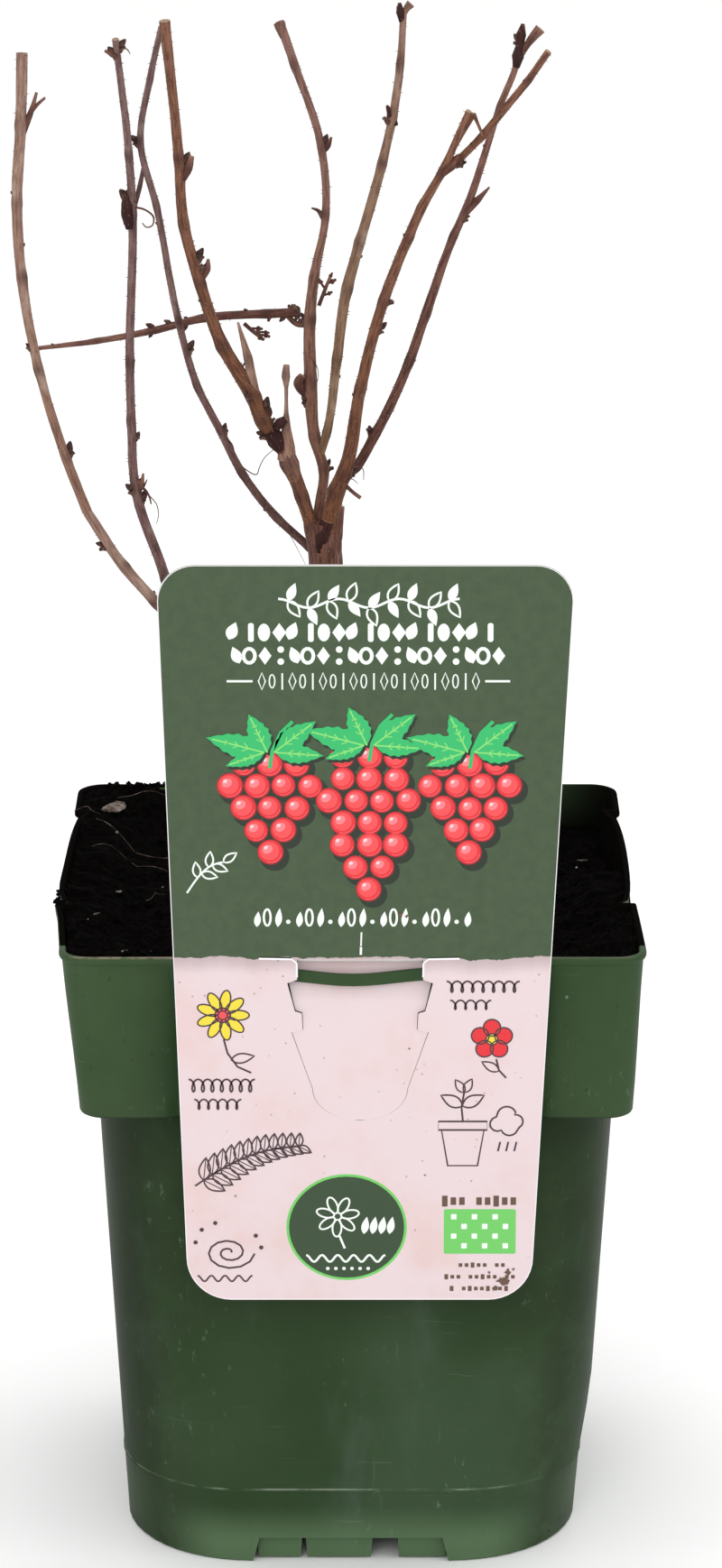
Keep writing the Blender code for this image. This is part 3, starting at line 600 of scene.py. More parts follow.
def makePot():
    step, top, wall = pot["step"], pot["height"], pot["wall"]
    lip = top - pot["lipHeight"]
    parting = pot["parting"]
    levels = [bodySize(0.0, 0.5), bodySize(0.5), bodySize(parting - 0.25),
              bodySize(parting - 0.15, -0.22), bodySize(parting + 0.15, -0.22), bodySize(parting + 0.5),
              bodySize(27.0), bodySize(38.0), bodySize(step * 0.55), bodySize(step),
              collarSize(step + 0.01, 0.6), collarSize(step + 0.25, 0.2), collarSize(step + 0.7),
              collarSize(lip), collarSize(lip + 0.3, -0.45), collarSize(lip + 0.7, -0.6),
              collarSize(top - 0.5, -0.58), collarSize(top - 0.14, -0.4), collarSize(top, -0.1)]
    piece = loftLevels("pot_shell", levels)
    taken = [leaningBlock("panel", side, 0.0, step - 1.0) for side in range(4)]
    combine(piece, "DIFFERENCE", joined("panels", taken))

    ledge = step + wall
    hollow = [bodySize(pot["floor"][1], wall), bodySize(step * 0.5, wall), bodySize(ledge, wall),
              collarSize(ledge + 0.01, wall), collarSize(top - 0.4, wall), collarSize(top + 0.4, wall - 0.4),
              collarSize(top + 1.0, wall - 0.4)]
    cavity = loftLevels("cavity", hollow)
    kept = [leaningBlock("panel wall", side, wall, ledge + 0.02) for side in range(4)]
    combine(cavity, "DIFFERENCE", joined("panel walls", kept))
    combine(piece, "DIFFERENCE", cavity)
    skirt = loftLevels("under the floor", [bodySize(-1.0, 1.4), bodySize(pot["floor"][0], 1.4)])
    combine(piece, "DIFFERENCE", skirt)
    combine(piece, "DIFFERENCE", joined("notches", [notchBlock(side) for side in range(4)]))

    added = [footTabs(side) for side in range(4)]
    foot = startPiece("middle foot")
    depth = pot["floor"][0] + 0.4
    bpy.ops.mesh.primitive_cylinder_add(vertices=40, radius=pot["foot"] * mm, depth=depth * mm,
                                        location=(0, 0, depth / 2 * mm))
    added.append(endPiece(foot))
    combine(piece, "UNION", joined("feet", added))
    combine(piece, "DIFFERENCE", drainHoles())
    piece = shapeFiner(piece)
    pressOut(piece)
    combine(piece, "UNION", joined("straps", [bowedStrap(side) for side in range(4)]))
    modify(piece, "BEVEL", width=0.22 * mm, segments=2, limit_method="ANGLE",
           angle_limit=math.radians(40), harden_normals=False)
    settle(piece)
    pick(piece)
    bpy.ops.object.shade_smooth_by_angle(angle=math.radians(35))
    # faces that soil has stained: the inside of the rim, and the tops of the side walls and straps
    inner = piece.data.attributes.new("innerWall", "FLOAT", "FACE")
    dress(piece, potFinish("pot plastic", 0.045), "pot", "pot")
    piece.data.materials.append(potFinish("soiled plastic", 0.0))
    for face in piece.data.polygons:
        x, y, z = face.center / mm
        inward = face.normal.x * x + face.normal.y * y < -0.3 * math.hypot(x, y)
        onTop = face.normal.z > 0.4 and y > -57.0
        pocket = z > 130.0 and 56.0 < abs(x) < 66.0 and -46.0 < y < 47.0
        pocket = pocket and face.normal.x * x < 0.3 * abs(x)
        stained = z > 112.0 and (inward or onTop or pocket) and y > -57.0
        inner.data[face.index].value = float(stained)
        face.material_index = int(stained)


makePot()
print("pot is made")


# Soil: a fine grid pressed into the collar, rough and heaped, with what lies in it

soil = {"level": 143.4, "steps": 190, "rim": 4.8, "low": 3.0, "heap": 1.6, "thick": 10.0, "lumps": 1.5,
        "corner": (-55.0, 58.0)}


def soilHeight(x, y):
    # higher along the walls, low at the back right, heaped over the rim at the back left
    wall = eased(max(abs(x), abs(y)), 46.0, 61.0)
    hollow = eased(x + y * 0.6, 26.0, 62.0) * eased(y, -6.0, 24.0)
    rise = soil["rim"] * wall * (1.0 - hollow) - soil["low"] * hollow
    rise += soil["heap"] * math.exp(-((x - soil["corner"][0]) ** 2 + (y - soil["corner"][1]) ** 2) / 500.0)
    lumps = ripple(x, y, 3.0, 0.09) * soil["lumps"] + ripple(x, y, 7.0, 0.23) * 1.1
    crumbs = abs(ripple(x, y, 1.0, 0.55)) * 1.5 + ripple(x, y, 5.0, 1.3) * 0.6
    return soil["level"] + rise + lumps + crumbs


def soilFinish():
    paint = Finish("potting soil", roughness=0.95, specular=0.02)
    place = paint.place()
    crumbs = paint.noise(place, 0.5, 6.0, 0.7)
    fine = paint.noise(place, 2.6, 3.0, 0.7)
    colour = paint.blend(crumbs.over(0.38, 0.75), (0.0010, 0.0008, 0.0008), (0.0034, 0.0024, 0.0019))
    paint.feed(baseColor=colour, normal=paint.relief(crumbs + fine * 0.35, 0.5))
    return paint.material


def makeSoil():
    piece = startPiece("soil_bed")
    steps = soil["steps"]
    bpy.ops.mesh.primitive_grid_add(x_subdivisions=steps, y_subdivisions=steps, size=132.0 * mm,
                                    location=(0, 0, soil["level"] * mm))
    selectVerts(lambda spot, index: True)
    bpy.ops.mesh.extrude_region_move(TRANSFORM_OT_translate={"value": (0, 0, -soil["thick"] * mm)})
    bpy.ops.mesh.select_all(action="SELECT")
    bpy.ops.mesh.normals_make_consistent(inside=False)
    bpy.ops.object.mode_set(mode="OBJECT")
    for vert in piece.data.vertices:
        if vert.co.z > (soil["level"] - 1.0) * mm:
            vert.co.z = soilHeight(vert.co.x / mm, vert.co.y / mm) * mm
    # cut to the inside of the collar, a hair clear of its wall
    inset = pot["wall"] + 0.1
    heights = (120.0, pot["height"], pot["height"] + 15.0)
    mould = loftLevels("mould", [collarSize(height, inset) for height in heights])
    walls = [leaningBlock("panel wall", side, inset, 110.0) for side in range(4)]
    combine(mould, "DIFFERENCE", joined("panel walls", walls))
    combine(piece, "INTERSECT", mould)
    pressOut(piece)
    settle(piece)
    pick(piece)
    bpy.ops.object.shade_smooth()
    dress(piece, soilFinish(), "soil", "soil")


makeSoil()
print("soil is in")


# Label card: an outline with a cut-out tongue that bends back behind the pot's front strap

card = {"top": (-42.3, 47.9, 239.5), "foot": (-36.7, 39.6, 70.3), "corners": (8.0, 10.0),
        "front": -68.60, "thick": 0.38, "middle": 1.6, "slit": 0.12, "tip": 112.9,
        "tongue": ((150.3, 13.7), (145.6, 13.7), (144.8, 15.9), (138.2, 14.2), (137.7, 12.7),
                   (133.9, 12.5), (133.4, 15.0), (120.2, 10.4)),
        "course": ((153.0, -68.47), (150.9, -68.3), (148.6, -65.4), (144.4, -65.4), (139.0, -67.3),
                   (133.0, -68.1), (126.0, -68.4), (112.0, -68.47)),
        "torn": 150.7}


def cardEdge(height):
    share = (height - card["foot"][2]) / (card["top"][2] - card["foot"][2])
    return mix(card["foot"][0], card["top"][0], share), mix(card["foot"][1], card["top"][1], share)


def arc(centre, radius, start, end, steps=10):
    turns = [math.radians(mix(start, end, i / steps)) for i in range(steps + 1)]
    return [(centre[0] + radius * math.cos(t), centre[1] + radius * math.sin(t)) for t in turns]


def cardOutline():
    upper, lower = card["corners"]
    outline = []
    for height, radius, start in ((card["foot"][2], lower, 180), (card["foot"][2], lower, 270),
                                  (card["top"][2], upper, 0), (card["top"][2], upper, 90)):
        inner = height + radius if start >= 180 else height - radius
        left, right = cardEdge(inner)
        x = right - radius if start in (270, 0) else left + radius
        outline += arc((x, inner), radius, start, start + 90)
    return outline


def tongueHalf(height):
    for (upperZ, upper), (lowerZ, lower) in zip(card["tongue"], card["tongue"][1:]):
        if height >= lowerZ:
            return mix(lower, upper, min((height - lowerZ) / (upperZ - lowerZ), 1.0))
    lastZ, last = card["tongue"][-1]
    drop = min((lastZ - height) / (lastZ - card["tip"]), 1.0)
    return last * math.sqrt(max(1.0 - drop ** 2, 0.0))


def tongueRows():
    turns = [i / 10 * math.pi / 2 for i in range(1, 10)]
    return [z for z, _ in card["tongue"]] + [mix(card["tongue"][-1][0], card["tip"], math.sin(t))
                                             for t in turns]


def windowOutline():
    rows = tongueRows()
    left = [(card["middle"] - tongueHalf(z) - card["slit"], z) for z in rows]
    right = [(card["middle"] + tongueHalf(z) + card["slit"], z) for z in reversed(rows)]
    return left + [(card["middle"], card["tip"] - card["slit"])] + right


def flatShape(name, outlines, depth, front):
    # filled outlines in X and Z as a flat curve, made a mesh that lies behind the given front
    bpy.ops.object.select_all(action="DESELECT")
    bpy.ops.curve.primitive_bezier_circle_add(location=(0, 0, 0))
    shape = bpy.context.object
    curve = shape.data
    curve.splines.clear()
    curve.dimensions = "2D"
    curve.fill_mode = "BOTH"
    curve.extrude = depth * mm / 2
    for outline in outlines:
        spline = curve.splines.new("POLY")
        spline.points.add(len(outline) - 1)
        for point, (x, z) in zip(spline.points, outline):
            point.co = (x * mm, z * mm, 0.0, 1.0)
        spline.use_cyclic_u = True
    bpy.ops.object.convert(target="MESH")
    shape = bpy.context.object
    shape.name = shape.data.name = name
    shape.rotation_euler.x = math.pi / 2
    shape.location.y = (front + depth / 2) * mm
    bpy.ops.object.transform_apply(location=True, rotation=True, scale=False)
    bpy.ops.object.mode_set(mode="EDIT")
    bpy.ops.mesh.select_all(action="SELECT")
    bpy.ops.mesh.remove_doubles(threshold=1e-7)
    bpy.ops.mesh.normals_make_consistent(inside=False)
    bpy.ops.object.mode_set(mode="OBJECT")
    return shape


def tongueY(height):
    course = card["course"]
    for (upperZ, upper), (lowerZ, lower) in zip(course, course[1:]):
        if height >= lowerZ:
            return mix(lower, upper, eased(height, lowerZ, upperZ))
    return course[-1][1]


def makeTongue():
    # a ring of four corners at each height of the tongue, joined to the ring above it
    rows = {z for z, _ in card["tongue"]} | set(tongueRows()) | {151.0 + i * 0.35 for i in range(4)}
    rows |= {mix(113.2, 150.9, i / 60) for i in range(61)}
    shape = bmesh.new()
    last = None
    for z in sorted(rows, reverse=True):
        half = tongueHalf(min(z, card["tongue"][0][0]))
        y = tongueY(z)
        ring = [shape.verts.new(Vector((card["middle"] + side * half, y + face * card["thick"] / 2, z)) * mm)
                for side, face in ((-1, -1), (1, -1), (1, 1), (-1, 1))]
        if last:
            for i in range(4):
                shape.faces.new((last[i], last[(i + 1) % 4], ring[(i + 1) % 4], ring[i]))
        else:
            shape.faces.new(ring)
        last = ring
    shape.faces.new(list(reversed(last)))
    bmesh.ops.recalc_face_normals(shape, faces=shape.faces)
    mesh = bpy.data.meshes.new("tongue")
    shape.to_mesh(mesh)
    shape.free()
    piece = linked("tongue", mesh)
    return piece


def printFinish():
    # green print above a torn-looking line, pale pink below it, with smudges and specks of soil
    paint = Finish("card print", specular=0.4)
    place = paint.place()
    z = paint.axis(place, "Z")
    fibre = paint.noise(place, 0.35, 4.0, 0.6)
    green = paint.blend(fibre.over(0.3, 0.7), tint(55, 73, 47), tint(61, 80, 52))
    blotch = paint.noise(place, 0.055, 4.0, 0.6)
    pink = paint.blend(blotch.over(0.45, 0.75), tint(216, 198, 201), tint(216, 190, 189))
    lower = z.over(112.0, 70.0) * blotch.over(0.38, 0.66)
    pink = paint.blend(lower * 0.4, pink, tint(208, 180, 174))
    wave = paint.noise(paint.place((1.0, 0.0, 0.0)), 0.055, 5.0, 0.62)
    torn = z + wave * 5.5 - (card["torn"] + 2.75)
    shade = torn.over(-4.5, 0.0)
    pink = paint.blend(shade * 0.55, pink, tint(150, 132, 134))
    colour = paint.blend(torn.over(-0.12, 0.12), pink, green)
    specks = paint.spots(place, 0.42, 0.13) * paint.noise(place, 0.08, 1.0).over(0.5, 0.66)
    colour = paint.blend(specks * 0.5, colour, (0.10, 0.06, 0.045))
    paint.feed(baseColor=colour, roughness=blotch * 0.15 + 0.3,
               normal=paint.relief(fibre, 0.03, 0.4))
    return paint.material


def cardWhite():
    paint = Finish("card core", roughness=0.45)
    fibre = paint.noise(paint.place(), 0.6, 3.0)
    paint.feed(baseColor=paint.blend(fibre.over(0.3, 0.7), (0.80, 0.79, 0.76), (0.88, 0.87, 0.85)))
    return paint.material


def makeCard():
    plate = flatShape("label", (cardOutline(), windowOutline()), card["thick"], card["front"])
    piece = joined("label", [plate, makeTongue()])
    modify(piece, "BEVEL", width=0.09 * mm, segments=1, limit_method="ANGLE",
           angle_limit=math.radians(60))
    pick(piece)
    bpy.ops.object.shade_smooth_by_angle(angle=math.radians(25))
    dress(piece, printFinish(), "label", "label_card")
    piece.data.materials.append(cardWhite())
    for face in piece.data.polygons:
        face.material_index = 0 if face.normal.y < -0.72 else 1


makeCard()
print("label card hangs on the strap")


# Label print: made-up leaves, berries and flowers as thin sheets of ink, one sheet for each colour

inks = {"white": tint(226, 232, 226), "shade": tint(28, 40, 26), "crimson": tint(150, 22, 34),
        "red": tint(214, 40, 48), "coral": tint(230, 74, 78), "rose": tint(238, 124, 130),
        "glint": tint(246, 196, 198), "leaf": tint(44, 176, 100), "spring": tint(128, 208, 110),
        "line": tint(66, 46, 52), "yellow": tint(226, 206, 60), "forest": tint(44, 66, 40),
        "lime": tint(106, 192, 94), "dust": tint(96, 70, 56), "fold": tint(234, 230, 232)}
sheetStep = 0.0135


def oval(x, z, wide, tall, angle=0.0, count=20):
    turn = math.radians(angle)
    outline = []
    for i in range(count):
        u = math.cos(i / count * math.tau) * wide
        v = math.sin(i / count * math.tau) * tall
        outline.append((x + u * math.cos(turn) - v * math.sin(turn),
                        z + u * math.sin(turn) + v * math.cos(turn)))
    return outline


def leafShape(x, z, length, width, angle, teeth=0.0, count=9):
    # from its foot to its tip along one side, and back along the other; teeth notch the edge
    turn = math.radians(angle)
    sides = []
    for side in (1, -1):
        for i in range(count + 1):
            u = i / count
            v = side * width * math.sin(math.pi * u ** 0.8) * (1.0 - (teeth if i % 2 else 0.0)) / 2
            sides.append((x + u * length * math.cos(turn) - v * math.sin(turn),
                          z + u * length * math.sin(turn) + v * math.cos(turn)))
    return sides[:count + 1] + list(reversed(sides[count + 2:-1]))


def diamond(x, z, wide, tall):
    return [(x - wide, z), (x, z - tall), (x + wide, z), (x, z + tall)]


def block(x, z, wide, tall, corner=0.25):
    outline = []
    for cx, cz, start in ((1, 1, 0), (-1, 1, 90), (-1, -1, 180), (1, -1, 270)):
        centre = (x + cx * (wide - corner), z + cz * (tall - corner))
        outline += arc(centre, corner, start, start + 90, 4)
    return outline


def wave(start, end, height, swing, beats, loops=0.0):
    # a hand-drawn line that runs across in waves, or in loops where loops is more than 0
    steps = int(beats * 12)
    return [(mix(start, end, i / steps) + loops * math.sin(i / 12 * math.tau),
             height + swing * math.cos(i / 12 * math.tau)) for i in range(steps + 1)]


def inkSheet(name, level, outlines=(), strokes=()):
    # filled outlines, and strokes given as a path, a width and whether it is closed
    shape = bmesh.new()
    front = card["front"] - sheetStep * level

    def point(x, z, turn):
        # neighbours in one sheet lie a hair apart, so that where they overlap one covers the other
        return shape.verts.new(Vector((x, front - turn % 5 * 0.0015, z)) * mm)

    for turn, outline in enumerate(outlines):
        shape.faces.new([point(x, z, turn) for x, z in outline])
    for turn, (path, width, closed) in enumerate(strokes):
        pairs = []
        for i, (x, z) in enumerate(path):
            before = path[i - 1] if i or closed else path[i]
            after = path[(i + 1) % len(path)] if i < len(path) - 1 or closed else path[i]
            across = Vector((before[1] - after[1], after[0] - before[0])).normalized() * width / 2
            pairs.append([point(x + side * across.x, z + side * across.y, turn + 2) for side in (1, -1)])
        for i in range(len(pairs) if closed else len(pairs) - 1):
            left, right = pairs[i], pairs[(i + 1) % len(pairs)]
            shape.faces.new((left[0], left[1], right[1], right[0]))
    for face in shape.faces:
        face.normal_update()
        if face.normal.y > 0:
            face.normal_flip()
    mesh = bpy.data.meshes.new("print_" + name)
    shape.to_mesh(mesh)
    shape.free()
    piece = linked("print_" + name, mesh)
    modify(piece, "SOLIDIFY", thickness=0.02 * mm, offset=-1.0)
    colour = name.split("_")[0]
    ink = bpy.data.materials.get("ink " + colour)
    if not ink:
        ink = Finish("ink " + colour, baseColor=inks[colour], roughness=0.32, specular=0.4).material
    dress(piece, ink, "label")


# each bunch: its middle, its top and how many berries lie in each row
berry = {"radius": 2.85, "rise": 5.0,
         "bunches": ((-18.0, 195.0, (3, 4, 3, 2, 1)), (3.6, 196.6, (3, 3, 4, 3, 3, 2, 1)),
                     (25.4, 195.0, (3, 4, 3, 2, 1))),
         # each layer of a berry: its sheet, its share of the radius and its shift to the light
         "layers": (("crimson_berries", 2, 1.0, 0.0), ("red_berries", 3, 0.92, 0.02),
                    ("coral_berries", 4, 0.72, 0.08), ("rose_berries", 5, 0.40, 0.22),
                    ("glint_berries", 6, 0.17, 0.36)),
         "leaves": ((165, 13.0, 5.6), (115, 9.5, 5.2), (38, 11.5, 5.4), (-4, 10.5, 4.6), (200, 9.0, 3.6))}


def printBerries():
    spots = []
    for middle, top, rows in berry["bunches"]:
        for k, count in enumerate(rows):
            for i in range(count):
                x = middle + (i - (count - 1) / 2) * berry["radius"] * 2.02 + dice.uniform(-0.15, 0.15)
                spots.append((x, top - k * berry["rise"] + dice.uniform(-0.15, 0.15),
                              berry["radius"] * dice.uniform(0.93, 1.03)))
    inkSheet("shade_berries", 1, [oval(x + 0.9, z - 1.1, r * 1.12, r * 1.12, count=18) for x, z, r in spots])
    for name, level, share, shift in berry["layers"]:
        flat = 1.0 if share > 0.5 else 0.8
        inkSheet(name, level, [oval(x - shift * r, z + shift * r, r * share, r * share * flat, 35, 20)
                               for x, z, r in spots])
    inkSheet("coral_rims", 4, (), [(arc((x, z), r * 0.83, 250, 350, 8), r * 0.10, False)
                                   for x, z, r in spots])
    stems, leaves, veins, edges = [], [], [], []
    for middle, top, _ in berry["bunches"]:
        stems.append(([(middle, top - 1.0), (middle + 0.6, top + 3.0), (middle + 2.4, top + 7.0),
                       (middle + 5.0, top + 9.6)], 0.8, False))
        for angle, length, width in berry["leaves"]:
            way = math.radians(angle)
            foot = (middle + math.cos(way) * 1.2, top + 2.6)
            leaves.append(leafShape(*foot, length, width, angle, 0.16, 12))
            edges.append(leafShape(foot[0] + 0.5, foot[1] - 0.7, length, width, angle, 0.16, 12))
            tip = (foot[0] + math.cos(way) * length * 0.9, foot[1] + math.sin(way) * length * 0.9)
            veins.append(([foot, tip], 0.35, False))
            for share in (0.3, 0.5, 0.7):
                root = (mix(foot[0], tip[0], share), mix(foot[1], tip[1], share))
                for side in (38, -38):
                    way = math.radians(angle + side)
                    reach = width * 0.32 * (1.2 - share)
                    end = (root[0] + math.cos(way) * reach, root[1] + math.sin(way) * reach)
                    veins.append(([root, end], 0.22, False))
    inkSheet("shade_leaves", 6.4, edges)
    inkSheet("leaf_sprays", 7, leaves, stems)
    inkSheet("spring_veins", 8, (), veins)


def printWhite():
    outlines, strokes = [], []
    # a garland of leaves on a waving stem
    stem = wave(-16.0, 23.0, 231.0, 1.0, 3.0)
    strokes.append((stem, 0.55, False))
    for k, i in enumerate(range(2, len(stem) - 1, 4)):
        x, z = stem[i]
        for side in (62, -62):
            leaf = leafShape(x, z, 4.3, 2.1, side + 8 * math.sin(i), count=7)
            if (k + (side > 0)) % 2:
                outlines.append(leaf)
            else:
                strokes.append((leaf, 0.45, True))
    # two bold rows of ornaments
    x, step = -25.4, 0
    while x < 31.5:
        kind = step % 4
        if kind == 0:
            outlines.append(leafShape(x - 1.3, 222.9, 4.2, 2.6, 68, count=7))
        elif kind == 1:
            outlines.append(block(x, 224.5, 0.62, 2.1, 0.5))
        elif kind == 2:
            outlines.append(oval(x + 0.2, 224.5, 1.35, 2.0, 0, 14))
        else:
            outlines.append(diamond(x, 224.5, 1.5, 2.1))
        x, step = x + (3.5, 2.6, 3.5, 3.3)[kind], step + 1
    x, step = -25.6, 0
    while x < 31.5:
        kind = (step * 3 + 1) % 4
        if kind == 0:
            strokes.append((oval(x, 219.3, 1.25, 1.6, 0, 14), 0.8, True))
        elif kind == 1:
            outlines.append(leafShape(x + 1.2, 217.6, 4.0, 2.4, 112, count=7))
        elif kind == 2:
            outlines += [oval(x, 220.7, 0.75, 0.75, 0, 10), oval(x, 218.0, 0.75, 0.75, 0, 10)]
        else:
            outlines.append(diamond(x, 219.3, 1.4, 2.0))
        x, step = x + (3.4, 3.3, 2.5, 3.4)[kind], step + 1
    # a fine row between two dashes
    strokes += [([(-27.2, 213.6), (-21.6, 213.6)], 0.5, False), ([(28.6, 213.6), (34.0, 213.6)], 0.5, False)]
    for i in range(22):
        x = mix(-19.6, 26.6, i / 21)
        if i % 3 == 1:
            strokes.append((oval(x, 213.6, 0.6, 1.5, 0, 12), 0.3, True))
        elif i % 3 == 2:
            strokes.append(([(x, 211.7), (x, 215.4)], 0.36, False))
        else:
            strokes.append((diamond(x, 213.6, 0.75, 1.9), 0.3, True))
    # a sprig at the lower left
    sprig = [(-36.2 + 8.0 * t, 165.6 + 7.0 * t + 1.8 * math.sin(t * 3.1))
             for t in [i / 10 for i in range(11)]]
    strokes.append((sprig, 0.42, False))
    for i, angle in ((3, 98), (4, -14), (6, 84), (7, -22), (10, 36)):
        strokes.append((leafShape(*sprig[i], 3.6, 1.7, angle, count=6), 0.4, True))
    # a row of petals and dots under the berries
    for i in range(21):
        x = mix(-21.0, 25.0, i / 20)
        kind = i % 4
        if kind == 3:
            outlines.append(oval(x, 159.0, 0.5, 0.5, 0, 10))
        elif kind == 1:
            strokes.append((oval(x, 160.0, 0.75, 1.9, 0, 14), 0.5, True))
        else:
            outlines.append(leafShape(x, 157.8, 4.4 if kind else 3.6, 1.5, 84, count=7))
    inkSheet("white_figures", 1, outlines, strokes)


def flower(x, z, petals, reach, wide, start=0.0):
    angles = [start + i * 360 / petals for i in range(petals)]
    return [oval(x + math.cos(math.radians(a)) * reach, z + math.sin(math.radians(a)) * reach,
                 reach * 0.72, wide, a) for a in angles]


def printPink():
    daisy = flower(-28.6, 137.4, 9, 3.4, 1.15)
    rosette = flower(30.6, 131.8, 5, 2.7, 1.9, 18)
    lines = [(petal, 0.34, True) for petal in daisy + rosette]
    lines += [(oval(-28.6, 137.4, 1.7, 1.7), 0.36, True), (oval(30.6, 131.8, 1.3, 1.3), 0.34, True)]
    lines += [([(-28.4, 131.8), (-27.6, 128.6), (-25.4, 125.4), (-22.4, 124.0)], 0.42, False),
              ([(31.6, 127.2), (32.2, 124.6), (33.8, 122.8)], 0.42, False)]
    lines += [(leafShape(-26.8, 127.0, 5.2, 2.2, 10), 0.36, True),
              (leafShape(32.2, 124.4, 4.4, 1.9, 150), 0.34, True)]
    # looping lines, two short rows on each side
    lines += [(wave(-36.2, -21.6, 121.0, 1.5, 7, 0.75), 0.42, False),
              (wave(-35.0, -24.6, 116.6, 1.2, 5, 0.6), 0.4, False)]
    lines += [(wave(20.6, 36.6, 144.0, 1.3, 7, 0.7), 0.42, False),
              (wave(21.4, 30.4, 139.8, 1.1, 4, 0.6), 0.4, False)]
    # a leafy branch
    branch = [(-35.0 + 23.0 * t, 97.4 + 9.0 * t + 2.4 * math.sin(t * 3.0))
              for t in [i / 12 for i in range(13)]]
    lines.append((branch, 0.42, False))
    for i in range(1, 13):
        for side in (60, -52):
            leaf = leafShape(*branch[i], 5.6 - 0.2 * i, 2.6 - 0.08 * i, 24 + side, count=8)
            lines.append((leaf, 0.36, True))
            lines.append(([leaf[0], leaf[8]], 0.22, False))
    # a seedling in a small pot, a cloud and its drops
    lines += [([(19.6, 110.6), (21.0, 102.2), (27.6, 102.2), (29.0, 110.6)], 0.42, True),
              ([(18.9, 110.6), (18.9, 112.6), (29.7, 112.6), (29.7, 110.6)], 0.42, True),
              ([(24.3, 112.8), (24.0, 116.0), (24.6, 119.6)], 0.42, False)]
    lines += [(leafShape(24.2, 116.2, 5.4, 2.6, angle), 0.38, True) for angle in (28, 152)]
    lines += [(leafShape(24.6, 119.4, 3.6, 1.8, angle), 0.34, True) for angle in (62, 124)]
    cloud = arc((32.0, 112.0), 1.7, 100, 270, 6) + arc((34.6, 111.2), 1.9, 200, 340, 6)
    cloud += arc((36.0, 112.6), 1.6, -60, 100, 6) + arc((34.0, 114.0), 2.1, 20, 170, 8)
    lines.append((cloud, 0.4, True))
    lines += [([(x, 107.8), (x - 0.5, 105.6)], 0.4, False) for x in (32.6, 34.4, 36.2)]
    # a curl with dots at the lower left
    spiral = [(-27.6 + math.cos(t * 0.5) * (0.5 + 0.21 * t), 81.6 + math.sin(t * 0.5) * (0.4 + 0.15 * t))
              for t in range(26)]
    lines += [(spiral, 0.44, False), (wave(-34.6, -22.4, 75.4, 0.7, 4), 0.4, False)]
    dots = [oval(x, z, 0.5, 0.5, 0, 10)
            for x, z in ((-35.0, 84.0), (-33.6, 87.0), (-30.6, 88.6), (-21.6, 85.6), (-20.4, 82.8))]
    inkSheet("line_figures", 3, dots, lines)
    inkSheet("yellow_petals", 2, daisy)
    inkSheet("red_petals", 2, rosette)
    inkSheet("yellow_middle", 2.6, [oval(30.6, 131.8, 1.3, 1.3)])
    inkSheet("coral_middle", 2.6, [oval(-28.6, 137.4, 1.7, 1.7)])

    # a dark roundel with a pale flower
    middle = (-1.4, 87.6)
    inkSheet("lime_ring", 1, [oval(*middle, 13.4, 12.6, count=48)])
    inkSheet("forest_disc", 2, [oval(*middle, 12.8, 12.0, count=48)])
    petals = flower(middle[0] - 2.0, middle[1] + 2.6, 7, 2.8, 1.0, 10)
    whites = [(petal, 0.4, True) for petal in petals] + [(wave(-10.4, 7.2, 80.2, 0.8, 5), 0.5, False)]
    whites.append(([(-3.0, 85.6), (-1.8, 82.6)], 0.5, False))
    bold = [leafShape(2.4 + 1.9 * i, 86.0, 4.2, 1.7, 80, count=7) for i in range(4)]
    bold += [oval(x, 77.8, 0.42, 0.42, 0, 8) for x in (-5.6, -3.8, -2.0, -0.2, 1.6, 3.4)]
    inkSheet("white_roundel", 3, bold, whites)

    # a light-green tile with a chequer, and rows of small squares
    inkSheet("lime_tile", 1, [block(28.2, 86.6, 8.0, 5.3, 0.4)])
    checks = [block(22.4 + 2.3 * i, 83.2 + 2.3 * k, 0.62, 0.62, 0.15) for i in range(6) for k in range(4)
              if (i + k) % 2]
    inkSheet("white_tile", 2, checks)
    rows = ((93.8, 20.4, 36.2, 0.62, 1.3, 1.9), (78.6, 22.6, 34.0, 0.42, 0.62, 1.35),
            (75.8, 20.8, 36.0, 0.42, 0.62, 1.35), (73.0, 22.0, 34.6, 0.42, 0.62, 1.35))
    squares = []
    for height, low, high, wide, tall, pitch in rows:
        for i in range(int((high - low) / pitch) + 1):
            if (i * 5 + int(height)) % 6:
                squares.append(block(low + i * pitch, height, wide, tall * (0.7 if i % 3 else 1.0), 0.12))
    inkSheet("dust_squares", 1, squares)


